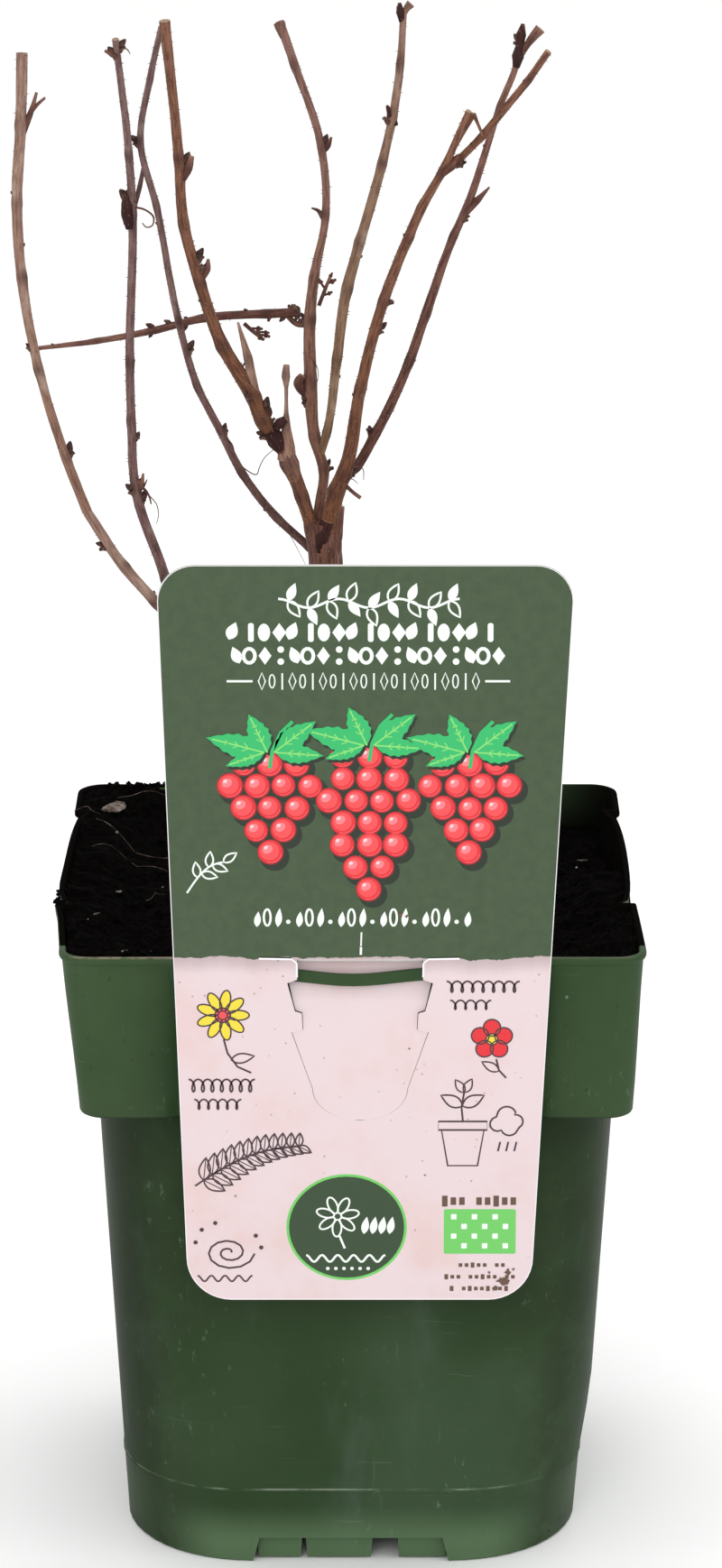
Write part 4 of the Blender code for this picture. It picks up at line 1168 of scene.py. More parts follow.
def printWear():
    # the cut edge of the card shows white all round
    middle = Vector((1.5, 154.0))
    rim = [Vector(point) + (middle - Vector(point)).normalized() * 0.2 for point in cardOutline()]
    inkSheet("fold_rim", 0.6, (), [([tuple(point) for point in rim], 0.17, True)])
    # painted highlights on the slit edges beside the window with a painted shadow line above each, a crease,
    # and smears of soil
    edges = [([(-20.6, 150.5), (-13.4, 150.35), (-12.3, 149.4), (-12.25, 146.2)], 0.42, False),
             ([(23.4, 150.5), (16.6, 150.35), (15.5, 149.4), (15.45, 146.2)], 0.42, False)]
    # painted highlights along the slit edges beside the window
    inkSheet("fold_edges", 2, (), edges)
    # painted shadow line just above each slit edge
    inkSheet("shade_edges", 1, (), [([(x, z + 0.36) for x, z in path[:2]], 0.3, False)
                                    for path, _, _ in edges])
    inkSheet("fold_crease", 2, (), [([(1.9, 156.6), (1.8, 153.4)], 0.34, False),
                                    ([(1.8, 153.2), (1.75, 151.4)], 0.5, False)])
    smears = []
    for x, z, size in ((33.2, 75.0, 1.5), (34.6, 77.0, 0.9), (31.6, 72.9, 0.9), (35.8, 77.6, 0.4),
                       (30.4, 76.8, 0.4), (10.6, 160.6, 0.8), (11.8, 160.2, 0.5), (12.4, 129.6, 0.3),
                       (-26.0, 95.0, 0.3), (16.0, 100.0, 0.3), (35.4, 153.6, 0.3)):
        smears.append([(x + size * (0.7 + 0.5 * math.sin(i * 2.3 + x)) * math.cos(i / 9 * math.tau),
                        z + size * (0.7 + 0.4 * math.cos(i * 1.7 + z)) * math.sin(i / 9 * math.tau))
                       for i in range(9)])
    inkSheet("dust_smears", 8.5, smears)


printBerries()
printWhite()
printPink()
printWear()
print("label is printed")


# Canes: smooth paths through the buds' joints, with bark relief on every tube

farLeftBend = (-60.7, 10.0, 231.8)
upperJoint = (-15.4, -3.0, 249.3)
canes = {
    "stump": {"joints": ((-5.7, 0.0, 137.0), (-6.0, 0.0, 185.0), (-6.2, 0.0, 222.0), (-7.1, -1.0, 232.7)),
              "radii": (6.0, 3.7, 3.5, 3.4, 3.4, 4.2), "bark": "old", "cut": False},
    "cane_far_left_low": {"joints": ((-14.1, 3.9, 137.0), (-20.0, 5.2, 170.0), (-32.5, 6.9, 196.0),
                                     (-45.3, 8.0, 211.2), (-52.3, 8.8, 219.1), farLeftBend),
                          "radii": (1.9, 1.4, 1.25, 1.15), "bark": "tan", "cut": False},
    "cane_far_left_top": {"joints": (farLeftBend, (-65.5, 11.2, 244.4), (-71.4, 13.2, 264.3),
                                     (-75.2, 17.4, 284.7), (-76.3, 22.0, 301.0), (-75.4, 26.6, 318.0),
                                     (-75.1, 31.0, 333.8)),
                          "radii": (1.15, 1.05, 1.15, 1.25, 1.35), "bark": "tan"},
    "cane_left": {"joints": ((-28.1, -8.0, 137.0), (-36.0, -8.4, 190.0), (-42.3, -8.0, 220.7),
                             (-48.9, -7.3, 241.4), (-49.7, -6.7, 257.1), (-49.9, -6.2, 270.2),
                             (-49.0, -4.0, 303.5), (-49.4, -9.4, 317.9), (-51.6, -19.9, 345.0)),
                  "radii": (1.9, 1.3, 1.15, 1.0, 0.95, 0.75), "bark": "lilac"},
    "shoot_left_side": {"joints": ((-49.0, -4.0, 303.5), (-47.4, -3.3, 309.5), (-46.1, -3.0, 315.6)),
                        "radii": (0.6, 0.45), "bark": "lilac"},
    "cane_middle_left_low": {"joints": ((-8.6, -1.8, 228.5), (-11.6, -2.5, 238.8), upperJoint),
                             "radii": (1.55, 1.5, 1.75), "bark": "brown", "cut": False},
    "cane_middle_left_top": {"joints": (upperJoint, (-20.3, -3.2, 256.5), (-22.5, -3.4, 261.9),
                                        (-29.2, -3.8, 273.6), (-34.2, -5.1, 288.3), (-37.5, -7.1, 301.7),
                                        (-38.4, -9.4, 317.2), (-41.1, -14.0, 348.1)),
                             "radii": (1.8, 1.75, 1.35, 1.25, 1.15, 1.1, 1.25), "bark": "brown"},
    "cane_thin": {"joints": ((-6.7, 1.0, 222.6), (-10.1, 2.0, 225.7), (-17.4, 0.9, 232.9),
                             (-25.1, -0.6, 243.6), (-29.7, -2.1, 253.3), (-34.9, -3.7, 264.3),
                             (-38.9, -6.0, 279.6), (-43.6, -6.8, 305.9), (-46.9, -7.2, 320.1),
                             (-44.7, -7.6, 334.2), (-42.0, -8.0, 345.9)),
                  "radii": (1.0, 0.9, 0.8, 0.75, 0.7), "bark": "lilac"},
    "cane_right": {"joints": ((-6.2, -2.4, 229.5), (-3.5, -4.2, 240.5), (-1.9, -5.0, 244.9),
                              (1.7, -10.3, 265.3), (6.8, -15.8, 286.2), (12.2, -19.9, 301.3),
                              (15.1, -21.7, 308.2), (19.5, -24.0, 316.7), (25.1, -30.0, 331.0)),
                   "radii": (2.15, 1.65, 1.3, 1.25, 1.15, 0.95, 0.65), "bark": "brown"},
    "shoot_right": {"joints": ((18.8, -23.6, 315.4), (22.8, -24.9, 319.2), (28.3, -27.0, 325.2),
                               (32.5, -29.0, 330.8), (37.8, -31.8, 337.9), (42.1, -34.0, 344.6)),
                    "radii": (0.8, 0.85, 0.8, 0.75), "bark": "brown"},
    "cane_far_right": {"joints": ((-1.7, -5.0, 243.9), (0.6, -2.9, 245.5), (5.2, -1.0, 252.9),
                                  (12.7, 2.1, 268.8), (16.4, 4.1, 279.2), (22.6, 6.9, 296.3),
                                  (25.2, 7.5, 302.1), (32.9, 10.1, 325.2), (36.9, 11.3, 335.9),
                                  (37.6, 12.0, 341.7)),
                       "radii": (1.15, 1.1, 1.05, 0.9, 0.75, 0.7), "bark": "dark"},
    "cane_middle": {"joints": ((-7.7, 0.0, 228.5), (-8.0, 0.3, 231.6), (-6.7, 1.0, 244.0),
                               (-8.7, 3.0, 251.1), (-9.6, 6.7, 263.4), (-9.8, 10.8, 276.5),
                               (-8.8, 13.7, 285.5), (-6.2, 18.2, 299.1), (-7.2, 23.0, 313.7),
                               (-13.2, 28.9, 331.4), (-16.7, 32.0, 340.8)),
                    "radii": (1.05, 1.2, 1.5, 1.3, 0.9, 0.9, 0.9, 1.05), "bark": "warm"},
    "cane_middle_right": {"joints": ((-7.5, 1.6, 246.8), (-5.9, 1.8, 252.5), (-3.6, 3.8, 268.9),
                                     (-1.4, 6.0, 284.4), (1.6, 7.4, 295.0), (6.5, 9.8, 312.2),
                                     (8.9, 11.2, 322.7), (10.6, 12.7, 334.3), (11.3, 14.2, 346.0)),
                          "radii": (0.9, 1.1, 1.25, 1.1, 0.95, 0.75), "bark": "olive"},
    "shoot_cross": {"joints": ((-12.0, 12.0, 277.9), (-19.7, 13.1, 277.3), (-33.4, 15.0, 276.0),
                               (-45.2, 16.9, 272.7), (-58.5, 18.7, 269.8), (-71.7, 20.0, 267.9)),
                    "radii": (1.05, 0.95, 0.75, 0.5), "bark": "dark"},
}
paths = {}
bark = {"ringStep": 0.7, "sides": 14, "swell": 0.13, "swellReach": 1.5, "grain": 0.08}
# each bark: its colour low on the cane and high up, its streaks, and how much pale film peels off it
barks = {"tan": (tint(138, 104, 88), tint(152, 122, 108), 0.58, 0.42),
         "lilac": (tint(104, 74, 68), tint(124, 98, 95), 0.50, 0.36),
         "brown": (tint(112, 72, 50), tint(130, 90, 72), 0.46, 0.28),
         "warm": (tint(130, 92, 74), tint(132, 98, 88), 0.50, 0.30),
         "olive": (tint(132, 104, 78), tint(136, 106, 92), 0.55, 0.34),
         "dark": (tint(92, 58, 48), tint(132, 94, 82), 0.45, 0.28),
         "old": (tint(120, 86, 72), tint(112, 76, 64), 0.42, 0.30),
         "hollow": (tint(46, 20, 20), tint(66, 34, 30), 0.50, 0.0)}


def barkFinish(name):
    low, high, streak, share = barks[name]
    paint = Finish(name + " bark", specular=0.15)
    place = paint.place(attribute="barkPlace")
    along = paint.place((1.0, 1.0, 0.12), attribute="barkPlace")
    lines = paint.noise(along, 1.9, 3.0, 0.6)
    patch = paint.noise(paint.place((1.0, 1.0, 0.5), attribute="barkPlace"), 0.16, 4.0, 0.6)
    base = paint.blend(paint.attribute("barkShare"), low, high)
    film = paint.blend(0.55, base, tint(196, 176, 160))
    deep = paint.blend(1.0, base, (streak, streak * 0.92, streak * 0.92), "MULTIPLY")
    colour = paint.blend(lines.over(0.40, 0.66), base, deep)
    blotch = paint.noise(paint.place((1.0, 1.0, 0.35), (5.0, 2.0, 9.0), "barkPlace"), 0.5, 4.0, 0.65)
    colour = paint.blend(blotch.over(0.52, 0.70) * 0.6, colour, deep)
    colour = paint.blend(patch.over(1.0 - share - 0.10, 1.0 - share + 0.12) * 0.7, colour, film)
    dots = paint.spots(paint.place((1.0, 1.0, 0.6), attribute="barkPlace"), 1.25, 0.20)
    colour = paint.blend(dots * 0.45, colour, film)
    joint = paint.attribute("nodeShade")
    colour = paint.blend(joint * patch.over(0.25, 0.6) * 0.75, colour, tint(56, 34, 32))
    cut = paint.attribute("cutShade")
    rings = paint.noise(place, 1.4, 2.0)
    colour = paint.blend(cut, colour, paint.blend(rings, tint(176, 150, 122), tint(132, 104, 84)))
    paint.feed(baseColor=colour, roughness=lines * 0.25 + 0.5,
               normal=paint.relief(lines * 0.8 + dots * 0.5 + patch * 0.6 + blotch * 0.7, 0.3))
    return paint.material


def smoothPath(joints, step):
    # points a step apart on a curve through the joints, and each joint's distance along it
    knots = [Vector(joint) for joint in joints]
    spans = [(b - a).length for a, b in zip(knots, knots[1:])]
    slopes = [(b - a) / span for a, b, span in zip(knots, knots[1:], spans)]
    tangents = [slopes[0]]
    for i in range(1, len(spans)):
        tangents.append(slopes[i - 1].lerp(slopes[i], spans[i - 1] / (spans[i - 1] + spans[i])))
    tangents.append(slopes[-1])
    points, marks, walked = [knots[0]], [], 0.0
    for i, span in enumerate(spans):
        count = max(2, round(span / step))
        for k in range(1, count + 1):
            s = k / count
            point = (knots[i] * (2 * s ** 3 - 3 * s ** 2 + 1) + tangents[i] * span * (s ** 3 - 2 * s ** 2 + s)
                     + knots[i + 1] * (3 * s ** 2 - 2 * s ** 3) + tangents[i + 1] * span * (s ** 3 - s ** 2))
            walked += (point - points[-1]).length
            points.append(point)
        marks.append(walked)
    return points, marks[:-1]


def spread(values, share):
    place = share * (len(values) - 1)
    i = min(int(place), len(values) - 2)
    return mix(values[i], values[i + 1], place - i)


def barkTube(name, joints, radii, seed, sides=None, swell=None, cut=True, ringStep=None):
    # a bevelled curve made a mesh, its rings pushed in and out, its top end cut and its foot closed
    sides = sides or bark["sides"]
    swell = bark["swell"] if swell is None else swell
    points, marks = smoothPath(joints, ringStep or bark["ringStep"])
    paths[name] = points, radii
    bpy.ops.object.select_all(action="DESELECT")
    bpy.ops.curve.primitive_nurbs_path_add(location=(0, 0, 0))
    tube = bpy.context.object
    curve = tube.data
    curve.splines.clear()
    curve.bevel_depth = mm
    curve.bevel_resolution = (sides - 4) // 2
    spline = curve.splines.new("POLY")
    spline.points.add(len(points) - 1)
    walked = [0.0]
    for a, b in zip(points, points[1:]):
        walked.append(walked[-1] + (b - a).length)
    for i, point in enumerate(points):
        spline.points[i].co = (*(point * mm), 1.0)
        spline.points[i].radius = spread(radii, walked[i] / walked[-1])
    bpy.ops.object.convert(target="MESH")
    tube = bpy.context.object
    tube.name = tube.data.name = name
    mesh = tube.data
    count = len(mesh.vertices)
    around = count // len(points)
    places, shades, shares = [], [], []
    for vert in mesh.vertices:
        ring, side = divmod(vert.index, around)
        centre = points[ring]
        radius = spread(radii, walked[ring] / walked[-1])
        turn = side / around * math.tau
        here = Vector((math.cos(turn) * radius, math.sin(turn) * radius, walked[ring] + seed * 37.0))
        push = ripple(here.x, here.y, here.z * 0.16, 1.1) * bark["grain"]
        push += ripple(here.x, here.y, here.z * 0.8, 2.4) * bark["grain"] * 0.35
        shade = 0.0
        for k, mark in enumerate(marks):
            near = math.exp(-((walked[ring] - mark) / bark["swellReach"]) ** 2)
            facing = 0.5 + 0.5 * math.cos(turn - k * 2.4 - seed)
            push += swell * near * (0.35 + facing)
            shade = max(shade, math.exp(-((walked[ring] - mark) / 1.7) ** 2) * (0.35 + 0.65 * facing))
        vert.co = (centre + (vert.co / mm - centre) * (1.0 + push)) * mm
        places.append(here)
        shades.append(shade)
        shares.append(walked[ring] / walked[-1])
    endCentre = points[-1]
    aim = (points[-1] - points[-2]).normalized()
    bpy.ops.object.mode_set(mode="EDIT")
    selectVerts(lambda spot, index: index < around)
    bpy.ops.mesh.edge_face_add()
    selectVerts(lambda spot, index: count - around <= index < count)
    if cut:
        for shrink, sink in ((0.86, 0.04), (0.45, -0.05)):
            bpy.ops.mesh.extrude_region_move(TRANSFORM_OT_translate={"value": aim * sink * mm})
            bpy.ops.transform.resize(value=(shrink,) * 3, center_override=endCentre * mm)
    bpy.ops.mesh.edge_face_add()
    endPiece(tube)
    bpy.ops.object.shade_smooth_by_angle(angle=math.radians(50))
    mesh = tube.data
    extra = len(mesh.vertices) - count
    places += [places[count - around + i % around] for i in range(extra)]
    shades += [0.0] * extra
    shares += [1.0] * extra
    cuts = [0.0] * count + [1.0] * extra
    mesh.attributes.new("barkPlace", "FLOAT_VECTOR", "POINT").data.foreach_set(
        "vector", [value for place in places for value in place])
    mesh.attributes.new("nodeShade", "FLOAT", "POINT").data.foreach_set("value", shades)
    mesh.attributes.new("barkShare", "FLOAT", "POINT").data.foreach_set("value", shares)
    mesh.attributes.new("cutShade", "FLOAT", "POINT").data.foreach_set("value", cuts)
    return tube


def onCane(node, height, turn, sink=0.0):
    # a place on a cane's bark where it passes a height, which way it faces there and the cane's course
    points, radii = paths["bark_" + node]
    # a height of one or less is a share of the way along instead, for the canes that lie level
    near = min(range(1, len(points) - 1), key=lambda i: abs(points[i].z - height))
    if height <= 1.0:
        near = min(max(round(height * len(points)), 1), len(points) - 2)
    course = (points[near + 1] - points[near - 1]).normalized()
    angle = math.radians(turn)
    out = Vector((math.cos(angle), math.sin(angle), 0.0))
    if abs(course.z) < 0.5:
        out = Vector((0.0, math.sin(angle), math.cos(angle)))
    out = (out - course * out.dot(course)).normalized()
    return points[near] + out * (spread(radii, near / len(points)) - sink), out, course


# spurs, stubs, lumps and scars on each cane: joints, radii, and the bark of those that aren't the cane's own
spurs = {
    "cane_far_left_top": (
        (((-75.1, 26.6, 316.4), (-73.2, 27.0, 320.6), (-71.7, 27.5, 325.4)), (1.0, 0.65, 0.35), "dark"),
        (((-73.4, 27.0, 320.4), (-71.6, 27.3, 322.6), (-69.8, 27.5, 324.2)), (0.5, 0.3), "dark"),
    ),
    "cane_left": (
        (((-49.6, -4.6, 300.2), (-50.1, -4.5, 303.4), (-50.0, -4.8, 306.4), (-49.6, -5.2, 309.0)),
         (0.85, 1.4, 1.35, 0.7), "hollow"),
        (((-51.4, -19.2, 341.0), (-52.9, -19.4, 341.9), (-54.0, -19.4, 342.4)), (0.7, 0.55, 0.3), "dark"),
        (((-48.9, -7.4, 240.0), (-47.6, -7.8, 242.4), (-47.1, -8.0, 245.2)), (0.9, 0.6, 0.25), "dark"),
    ),
    "cane_middle_left_low": (
        (((-14.9, -2.9, 247.3), (-15.0, -3.0, 256.5), (-15.0, -3.0, 263.0), (-15.0, -3.0, 267.2),
          (-14.9, -3.0, 269.0)),
         (2.2, 1.9, 1.4, 0.9, 0.55, 0.42, 0.42, 0.95, 0.7), "tan"),
        (((-13.0, -2.8, 242.5), (-14.4, -3.0, 246.6), (-15.3, -3.0, 249.8)), (1.5, 2.15, 1.7), "warm"),
    ),
    "cane_middle_left_top": (
        (((-22.1, -3.4, 262.5), (-23.6, -4.0, 271.0), (-25.7, -4.4, 279.0)), (1.3, 1.0, 0.3), "tan"),
        (((-18.6, -3.4, 254.0), (-17.0, -3.3, 251.4), (-15.9, -3.1, 249.9)), (1.75, 2.0, 1.7), "hollow"),
        (((-17.6, -4.2, 254.6), (-15.9, -4.4, 256.4), (-15.0, -4.4, 257.0)), (0.8, 1.2, 0.7), "hollow"),
        (((-37.7, -8.9, 312.2), (-36.5, -9.0, 314.6), (-35.7, -9.2, 317.4)), (0.9, 1.05, 0.75), "dark"),
        (((-33.6, -5.2, 289.4), (-32.5, -5.3, 291.4), (-32.2, -5.4, 293.6)), (0.8, 0.85, 0.3), "dark"),
    ),
    "cane_far_right": (
        (((36.7, 11.2, 335.4), (39.1, 11.3, 339.2), (41.8, 11.3, 342.4)), (0.8, 0.75, 1.25)),
        (((24.9, 7.5, 301.4), (27.9, 7.5, 304.4), (30.6, 7.5, 307.4)), (1.0, 0.8, 0.22), "dark"),
        (((36.4, 11.0, 333.8), (36.9, 11.2, 336.6), (37.2, 11.4, 338.8), (37.6, 11.8, 341.2),
          (37.9, 12.0, 343.4)),
         (0.8, 1.3, 0.85, 1.1, 0.4), "hollow"),
    ),
    "cane_middle": (
        (((-9.7, 6.5, 259.6), (-11.6, 6.2, 261.2), (-12.3, 6.1, 263.2), (-11.4, 6.0, 264.6)),
         (0.9, 0.9, 1.15, 0.8), "dark"),
        (((-15.6, 31.0, 337.4), (-16.3, 31.6, 339.2), (-16.7, 32.0, 340.5)), (0.95, 1.05, 1.35)),
        (((-7.4, 23.1, 312.4), (-5.6, 22.9, 314.2), (-4.9, 22.8, 316.0)), (0.85, 0.7, 0.25), "dark"),
        (((-6.6, 18.2, 298.4), (-8.2, 18.2, 300.2), (-9.4, 18.2, 300.6)), (0.8, 0.45, 0.2), "dark"),
    ),
    "shoot_cross": (
        (((-15.1, 12.5, 277.2), (-12.7, 11.8, 275.2), (-9.8, 10.8, 275.4)), (0.6, 0.6, 0.7), "dark"),
    ),
    "cane_right": (
        (((19.2, -24.0, 316.6), (22.8, -26.6, 324.0), (26.2, -28.0, 330.1)), (0.8, 0.7, 0.65)),
        (((26.2, -28.0, 330.1), (27.2, -28.1, 327.7), (28.3, -27.9, 325.2)), (0.5, 0.3, 0.35)),
        (((-1.5, -5.0, 241.5), (0.2, -5.2, 240.0), (1.7, -5.3, 238.9)), (0.5, 0.4, 0.45), "dark"),
    ),
    "cane_middle_right": (
        (((11.2, 14.1, 345.0), (12.2, 14.1, 346.8), (12.9, 14.1, 347.6)), (0.6, 0.7, 1.0)),
        (((11.1, 14.0, 343.6), (10.6, 13.9, 346.0), (10.4, 13.9, 347.8)), (0.8, 0.95, 0.4), "hollow"),
        (((9.2, 11.3, 320.6), (8.4, 11.2, 323.4), (7.6, 11.2, 325.2)), (1.0, 0.95, 0.3), "hollow"),
    ),
    "shoot_right": (
        (((19.3, -23.8, 316.0), (21.2, -24.4, 318.0), (23.4, -25.2, 320.2)), (0.9, 1.25, 0.8)),
    ),
    "stump": (
        (((-4.6, -1.6, 222.0), (-3.5, -2.2, 229.5), (-2.9, -2.3, 236.2)), (1.2, 1.1, 1.0), "dark"),
        (((-6.9, -0.6, 229.0), (-9.0, -0.4, 231.6), (-10.4, -0.3, 232.4)), (1.1, 0.8, 0.4), "dark"),
        (((-7.6, -2.6, 226.0), (-6.9, -3.4, 229.6), (-5.6, -4.0, 233.4)), (1.5, 1.75, 1.6), "hollow"),
        (((-5.4, -0.7, 210.0), (-5.0, -1.8, 221.0), (-4.4, -2.4, 229.4)), (2.2, 2.1, 1.3), "old"),
    ),
}


def makeCanes():
    finishes = {name: barkFinish(name) for name in barks}
    for seed, (node, cane) in enumerate(canes.items()):
        old = cane["bark"] == "old"
        tube = barkTube("bark_" + node, cane["joints"], cane["radii"], seed, sides=28 if old else None,
                        swell=0.05 if old else None, cut=cane.get("cut", True))
        dress(tube, finishes[cane["bark"]], "canes", node)
        for k, (joints, radii, *own) in enumerate(spurs.get(node, ())):
            tube = barkTube("spur_%s_%d" % (node, k), joints, radii, seed + k * 5, sides=12, ringStep=0.4,
                            swell=0.08)
            dress(tube, finishes[own[0] if own else cane["bark"]], "canes")
    return finishes


barkFinishes = makeCanes()
print("canes are grown")


# Buds, leaf scars and prickles: (height on the cane, way it faces from the right anticlockwise, length)

buds = {
    "cane_far_left_top": ((244.9, 10, 2.6), (269.4, 200, 1.4), (291.5, 20, 1.2), (303.0, 190, 0.9)),
    "cane_far_left_low": ((224.8, 190, 1.8), (212.0, 10, 1.1)),
    "cane_left": ((341.4, 180, 2.6), (343.0, 10, 2.2), (306.8, 175, 3.1), (303.2, 200, 2.7),
                  (301.4, 185, 2.1), (270.2, 350, 1.0), (253.0, 5, 1.8), (241.6, 200, 2.0),
                  (238.4, 20, 2.4), (243.0, 350, 1.4)),
    "cane_middle_left_top": ((316.0, 5, 2.6), (313.6, 20, 1.6), (293.4, 0, 2.5), (291.2, 20, 1.5),
                             (258.4, 350, 2.7), (256.2, 10, 2.2), (253.8, 200, 1.9), (262.4, 240, 1.8),
                             (284.0, 200, 0.9)),
    "cane_thin": ((320.1, 180, 2.2), (272.9, 0, 2.3), (253.3, 10, 1.8), (302.0, 185, 0.9), (235.0, 200, 1.0)),
    "cane_middle": ((314.6, 5, 2.2), (276.4, 170, 1.6), (258.6, 200, 1.7), (244.7, 5, 1.6)),
    "cane_middle_right": ((321.8, 200, 1.4), (345.6, 190, 1.8),
                          (264.8, 0, 0.9), (292.0, 10, 1.0)),
    "cane_right": ((279.7, 10, 2.0), (286.4, 0, 1.4), (301.3, 190, 1.0), (244.9, 10, 1.6), (263.3, 190, 1.1)),
    "shoot_right": ((319.2, 330, 1.7), (322.8, 200, 1.0), (337.3, 190, 0.9)),
    "cane_far_right": ((252.6, 190, 1.9), (300.8, 340, 1.4),
                       (339.4, 185, 1.8), (336.8, 330, 1.4), (268.8, 10, 1.0), (316.0, 185, 0.9)),
    "shoot_cross": ((0.55, 10, 1.9), (0.56, 190, 1.5), (0.48, 0, 1.6), (0.43, 180, 1.9),
                    (0.42, 20, 1.3), (0.19, 0, 1.3), (0.06, 185, 1.6), (0.93, 0, 0.9)),
}
prickles = {"tan": 1.6, "lilac": 4.0, "brown": 3.2, "warm": 3.4, "olive": 2.6, "dark": 3.6, "old": 1.6,
            "size": (0.28, 0.85)}


def budModel():
    # a pointed bud wrapped in scales, one long, standing on its foot
    bpy.ops.mesh.primitive_uv_sphere_add(segments=10, ring_count=9, radius=mm / 2, location=(0, 0, mm / 2))
    bud = bpy.context.object
    bpy.ops.object.transform_apply(location=True, rotation=False, scale=False)
    for vert in bud.data.vertices:
        x, y, z = vert.co / mm
        turn = math.atan2(y, x)
        scales = 1.0 + 0.16 * ((z * 3.4 + turn / math.tau * 2) % 1.0)
        slim = 0.62 * scales * (1.0 - 0.45 * z * z)
        vert.co = Vector((x * slim + 0.10 * z * z, y * slim, z - 0.12)) * mm
    mesh = bud.data
    bpy.data.objects.remove(bud)
    return mesh


def scarModel():
    # the torn foot of a leaf stalk: a short flattened horn, hollow at its end
    piece = startPiece("leaf scar")
    bpy.ops.mesh.primitive_cylinder_add(vertices=8, radius=0.5 * mm, depth=0.3 * mm, location=(0, 0, 0),
                                        end_fill_type="NGON")
    selectVerts(lambda spot, index: spot.z > 0)
    for rise, shrink in ((0.35, 0.62), (0.4, 0.85), (0.02, 0.6), (-0.15, 0.6)):
        bpy.ops.mesh.extrude_region_move(TRANSFORM_OT_translate={"value": (0.06 * mm, 0, rise * mm)})
        bpy.ops.transform.resize(value=(shrink, shrink * 0.9, 1.0))
    endPiece(piece)
    mesh = piece.data
    bpy.data.objects.remove(piece)
    return mesh


def prickleModel():
    bpy.ops.mesh.primitive_cone_add(vertices=4, radius1=0.15 * mm, radius2=0, depth=mm,
                                    location=(0, 0, mm * 0.4))
    cone = bpy.context.object
    bpy.ops.object.transform_apply(location=True, rotation=False, scale=False)
    mesh = cone.data
    bpy.data.objects.remove(cone)
    return mesh


def twigFinish(name, dark, light, scale=1.3):
    paint = Finish(name, roughness=0.7, specular=0.2)
    place = paint.place()
    cloud = paint.noise(place, scale, 4.0, 0.6)
    paint.feed(baseColor=paint.blend(cloud.over(0.38, 0.68), dark, light), normal=paint.relief(cloud, 0.15))
    return paint.material


def makeBuds():
    budMesh, scarMesh = budModel(), scarModel()
    budPlaces, scarPlaces = [], []
    for node, places in buds.items():
        for height, turn, length in places:
            spot, out, course = onCane(node, height, turn, 0.25)
            lean = out * dice.uniform(0.55, 0.9) + course * dice.uniform(0.8, 1.1)
            size = length * (1.25 if length > 1.5 else 1.0)
            budPlaces.append(aimed(spot, lean, (size * 0.95, size * 0.95, size), dice.uniform(-0.6, 0.6)))
            if length > 1.2:
                spot, out, course = onCane(node, height - length * 0.3, turn + dice.uniform(-25, 25), 0.3)
                size = dice.uniform(1.2, 1.9)
                scarPlaces.append(aimed(spot, out + course * dice.uniform(0.1, 0.7), size, dice.random() * 6))
    dress(meshArray("buds", budMesh, budPlaces),
          twigFinish("bud scales", (0.020, 0.009, 0.009), (0.10, 0.045, 0.032)),
          "canes")
    dress(meshArray("leaf_scars", scarMesh, scarPlaces),
          twigFinish("stalk foot", (0.045, 0.022, 0.018), (0.16, 0.085, 0.06)), "canes")
    for name in ("buds", "leaf_scars"):
        pick(bpy.data.objects[name])
        bpy.ops.object.shade_smooth_by_angle(angle=math.radians(45))


def makePrickles():
    model = prickleModel()
    places = []
    for node, cane in canes.items():
        points, radii = paths["bark_" + node]
        length = len(points) * bark["ringStep"]
        for _ in range(int(length * prickles[cane["bark"]])):
            share = dice.random()
            i = min(max(int(share * len(points)), 1), len(points) - 2)
            course = (points[i + 1] - points[i - 1]).normalized()
            turn = dice.uniform(0, math.tau)
            out = Vector((math.cos(turn), math.sin(turn), 0.0))
            out = (out - course * out.dot(course)).normalized()
            size = mix(*prickles["size"], dice.random() ** 2)
            places.append(aimed(points[i] + out * (spread(radii, share) - 0.05),
                                out + course * dice.uniform(-0.5, 0.2),
                                (size * 0.9, size * 0.9, size)))
    dress(meshArray("prickles", model, places),
          twigFinish("prickle", (0.035, 0.016, 0.014), (0.11, 0.05, 0.04)),
          "canes")


makeBuds()
makePrickles()
print("buds and prickles are on")


# Threads: dry tendrils, hairs and rootlets as thin wires through their joints, with a radius each

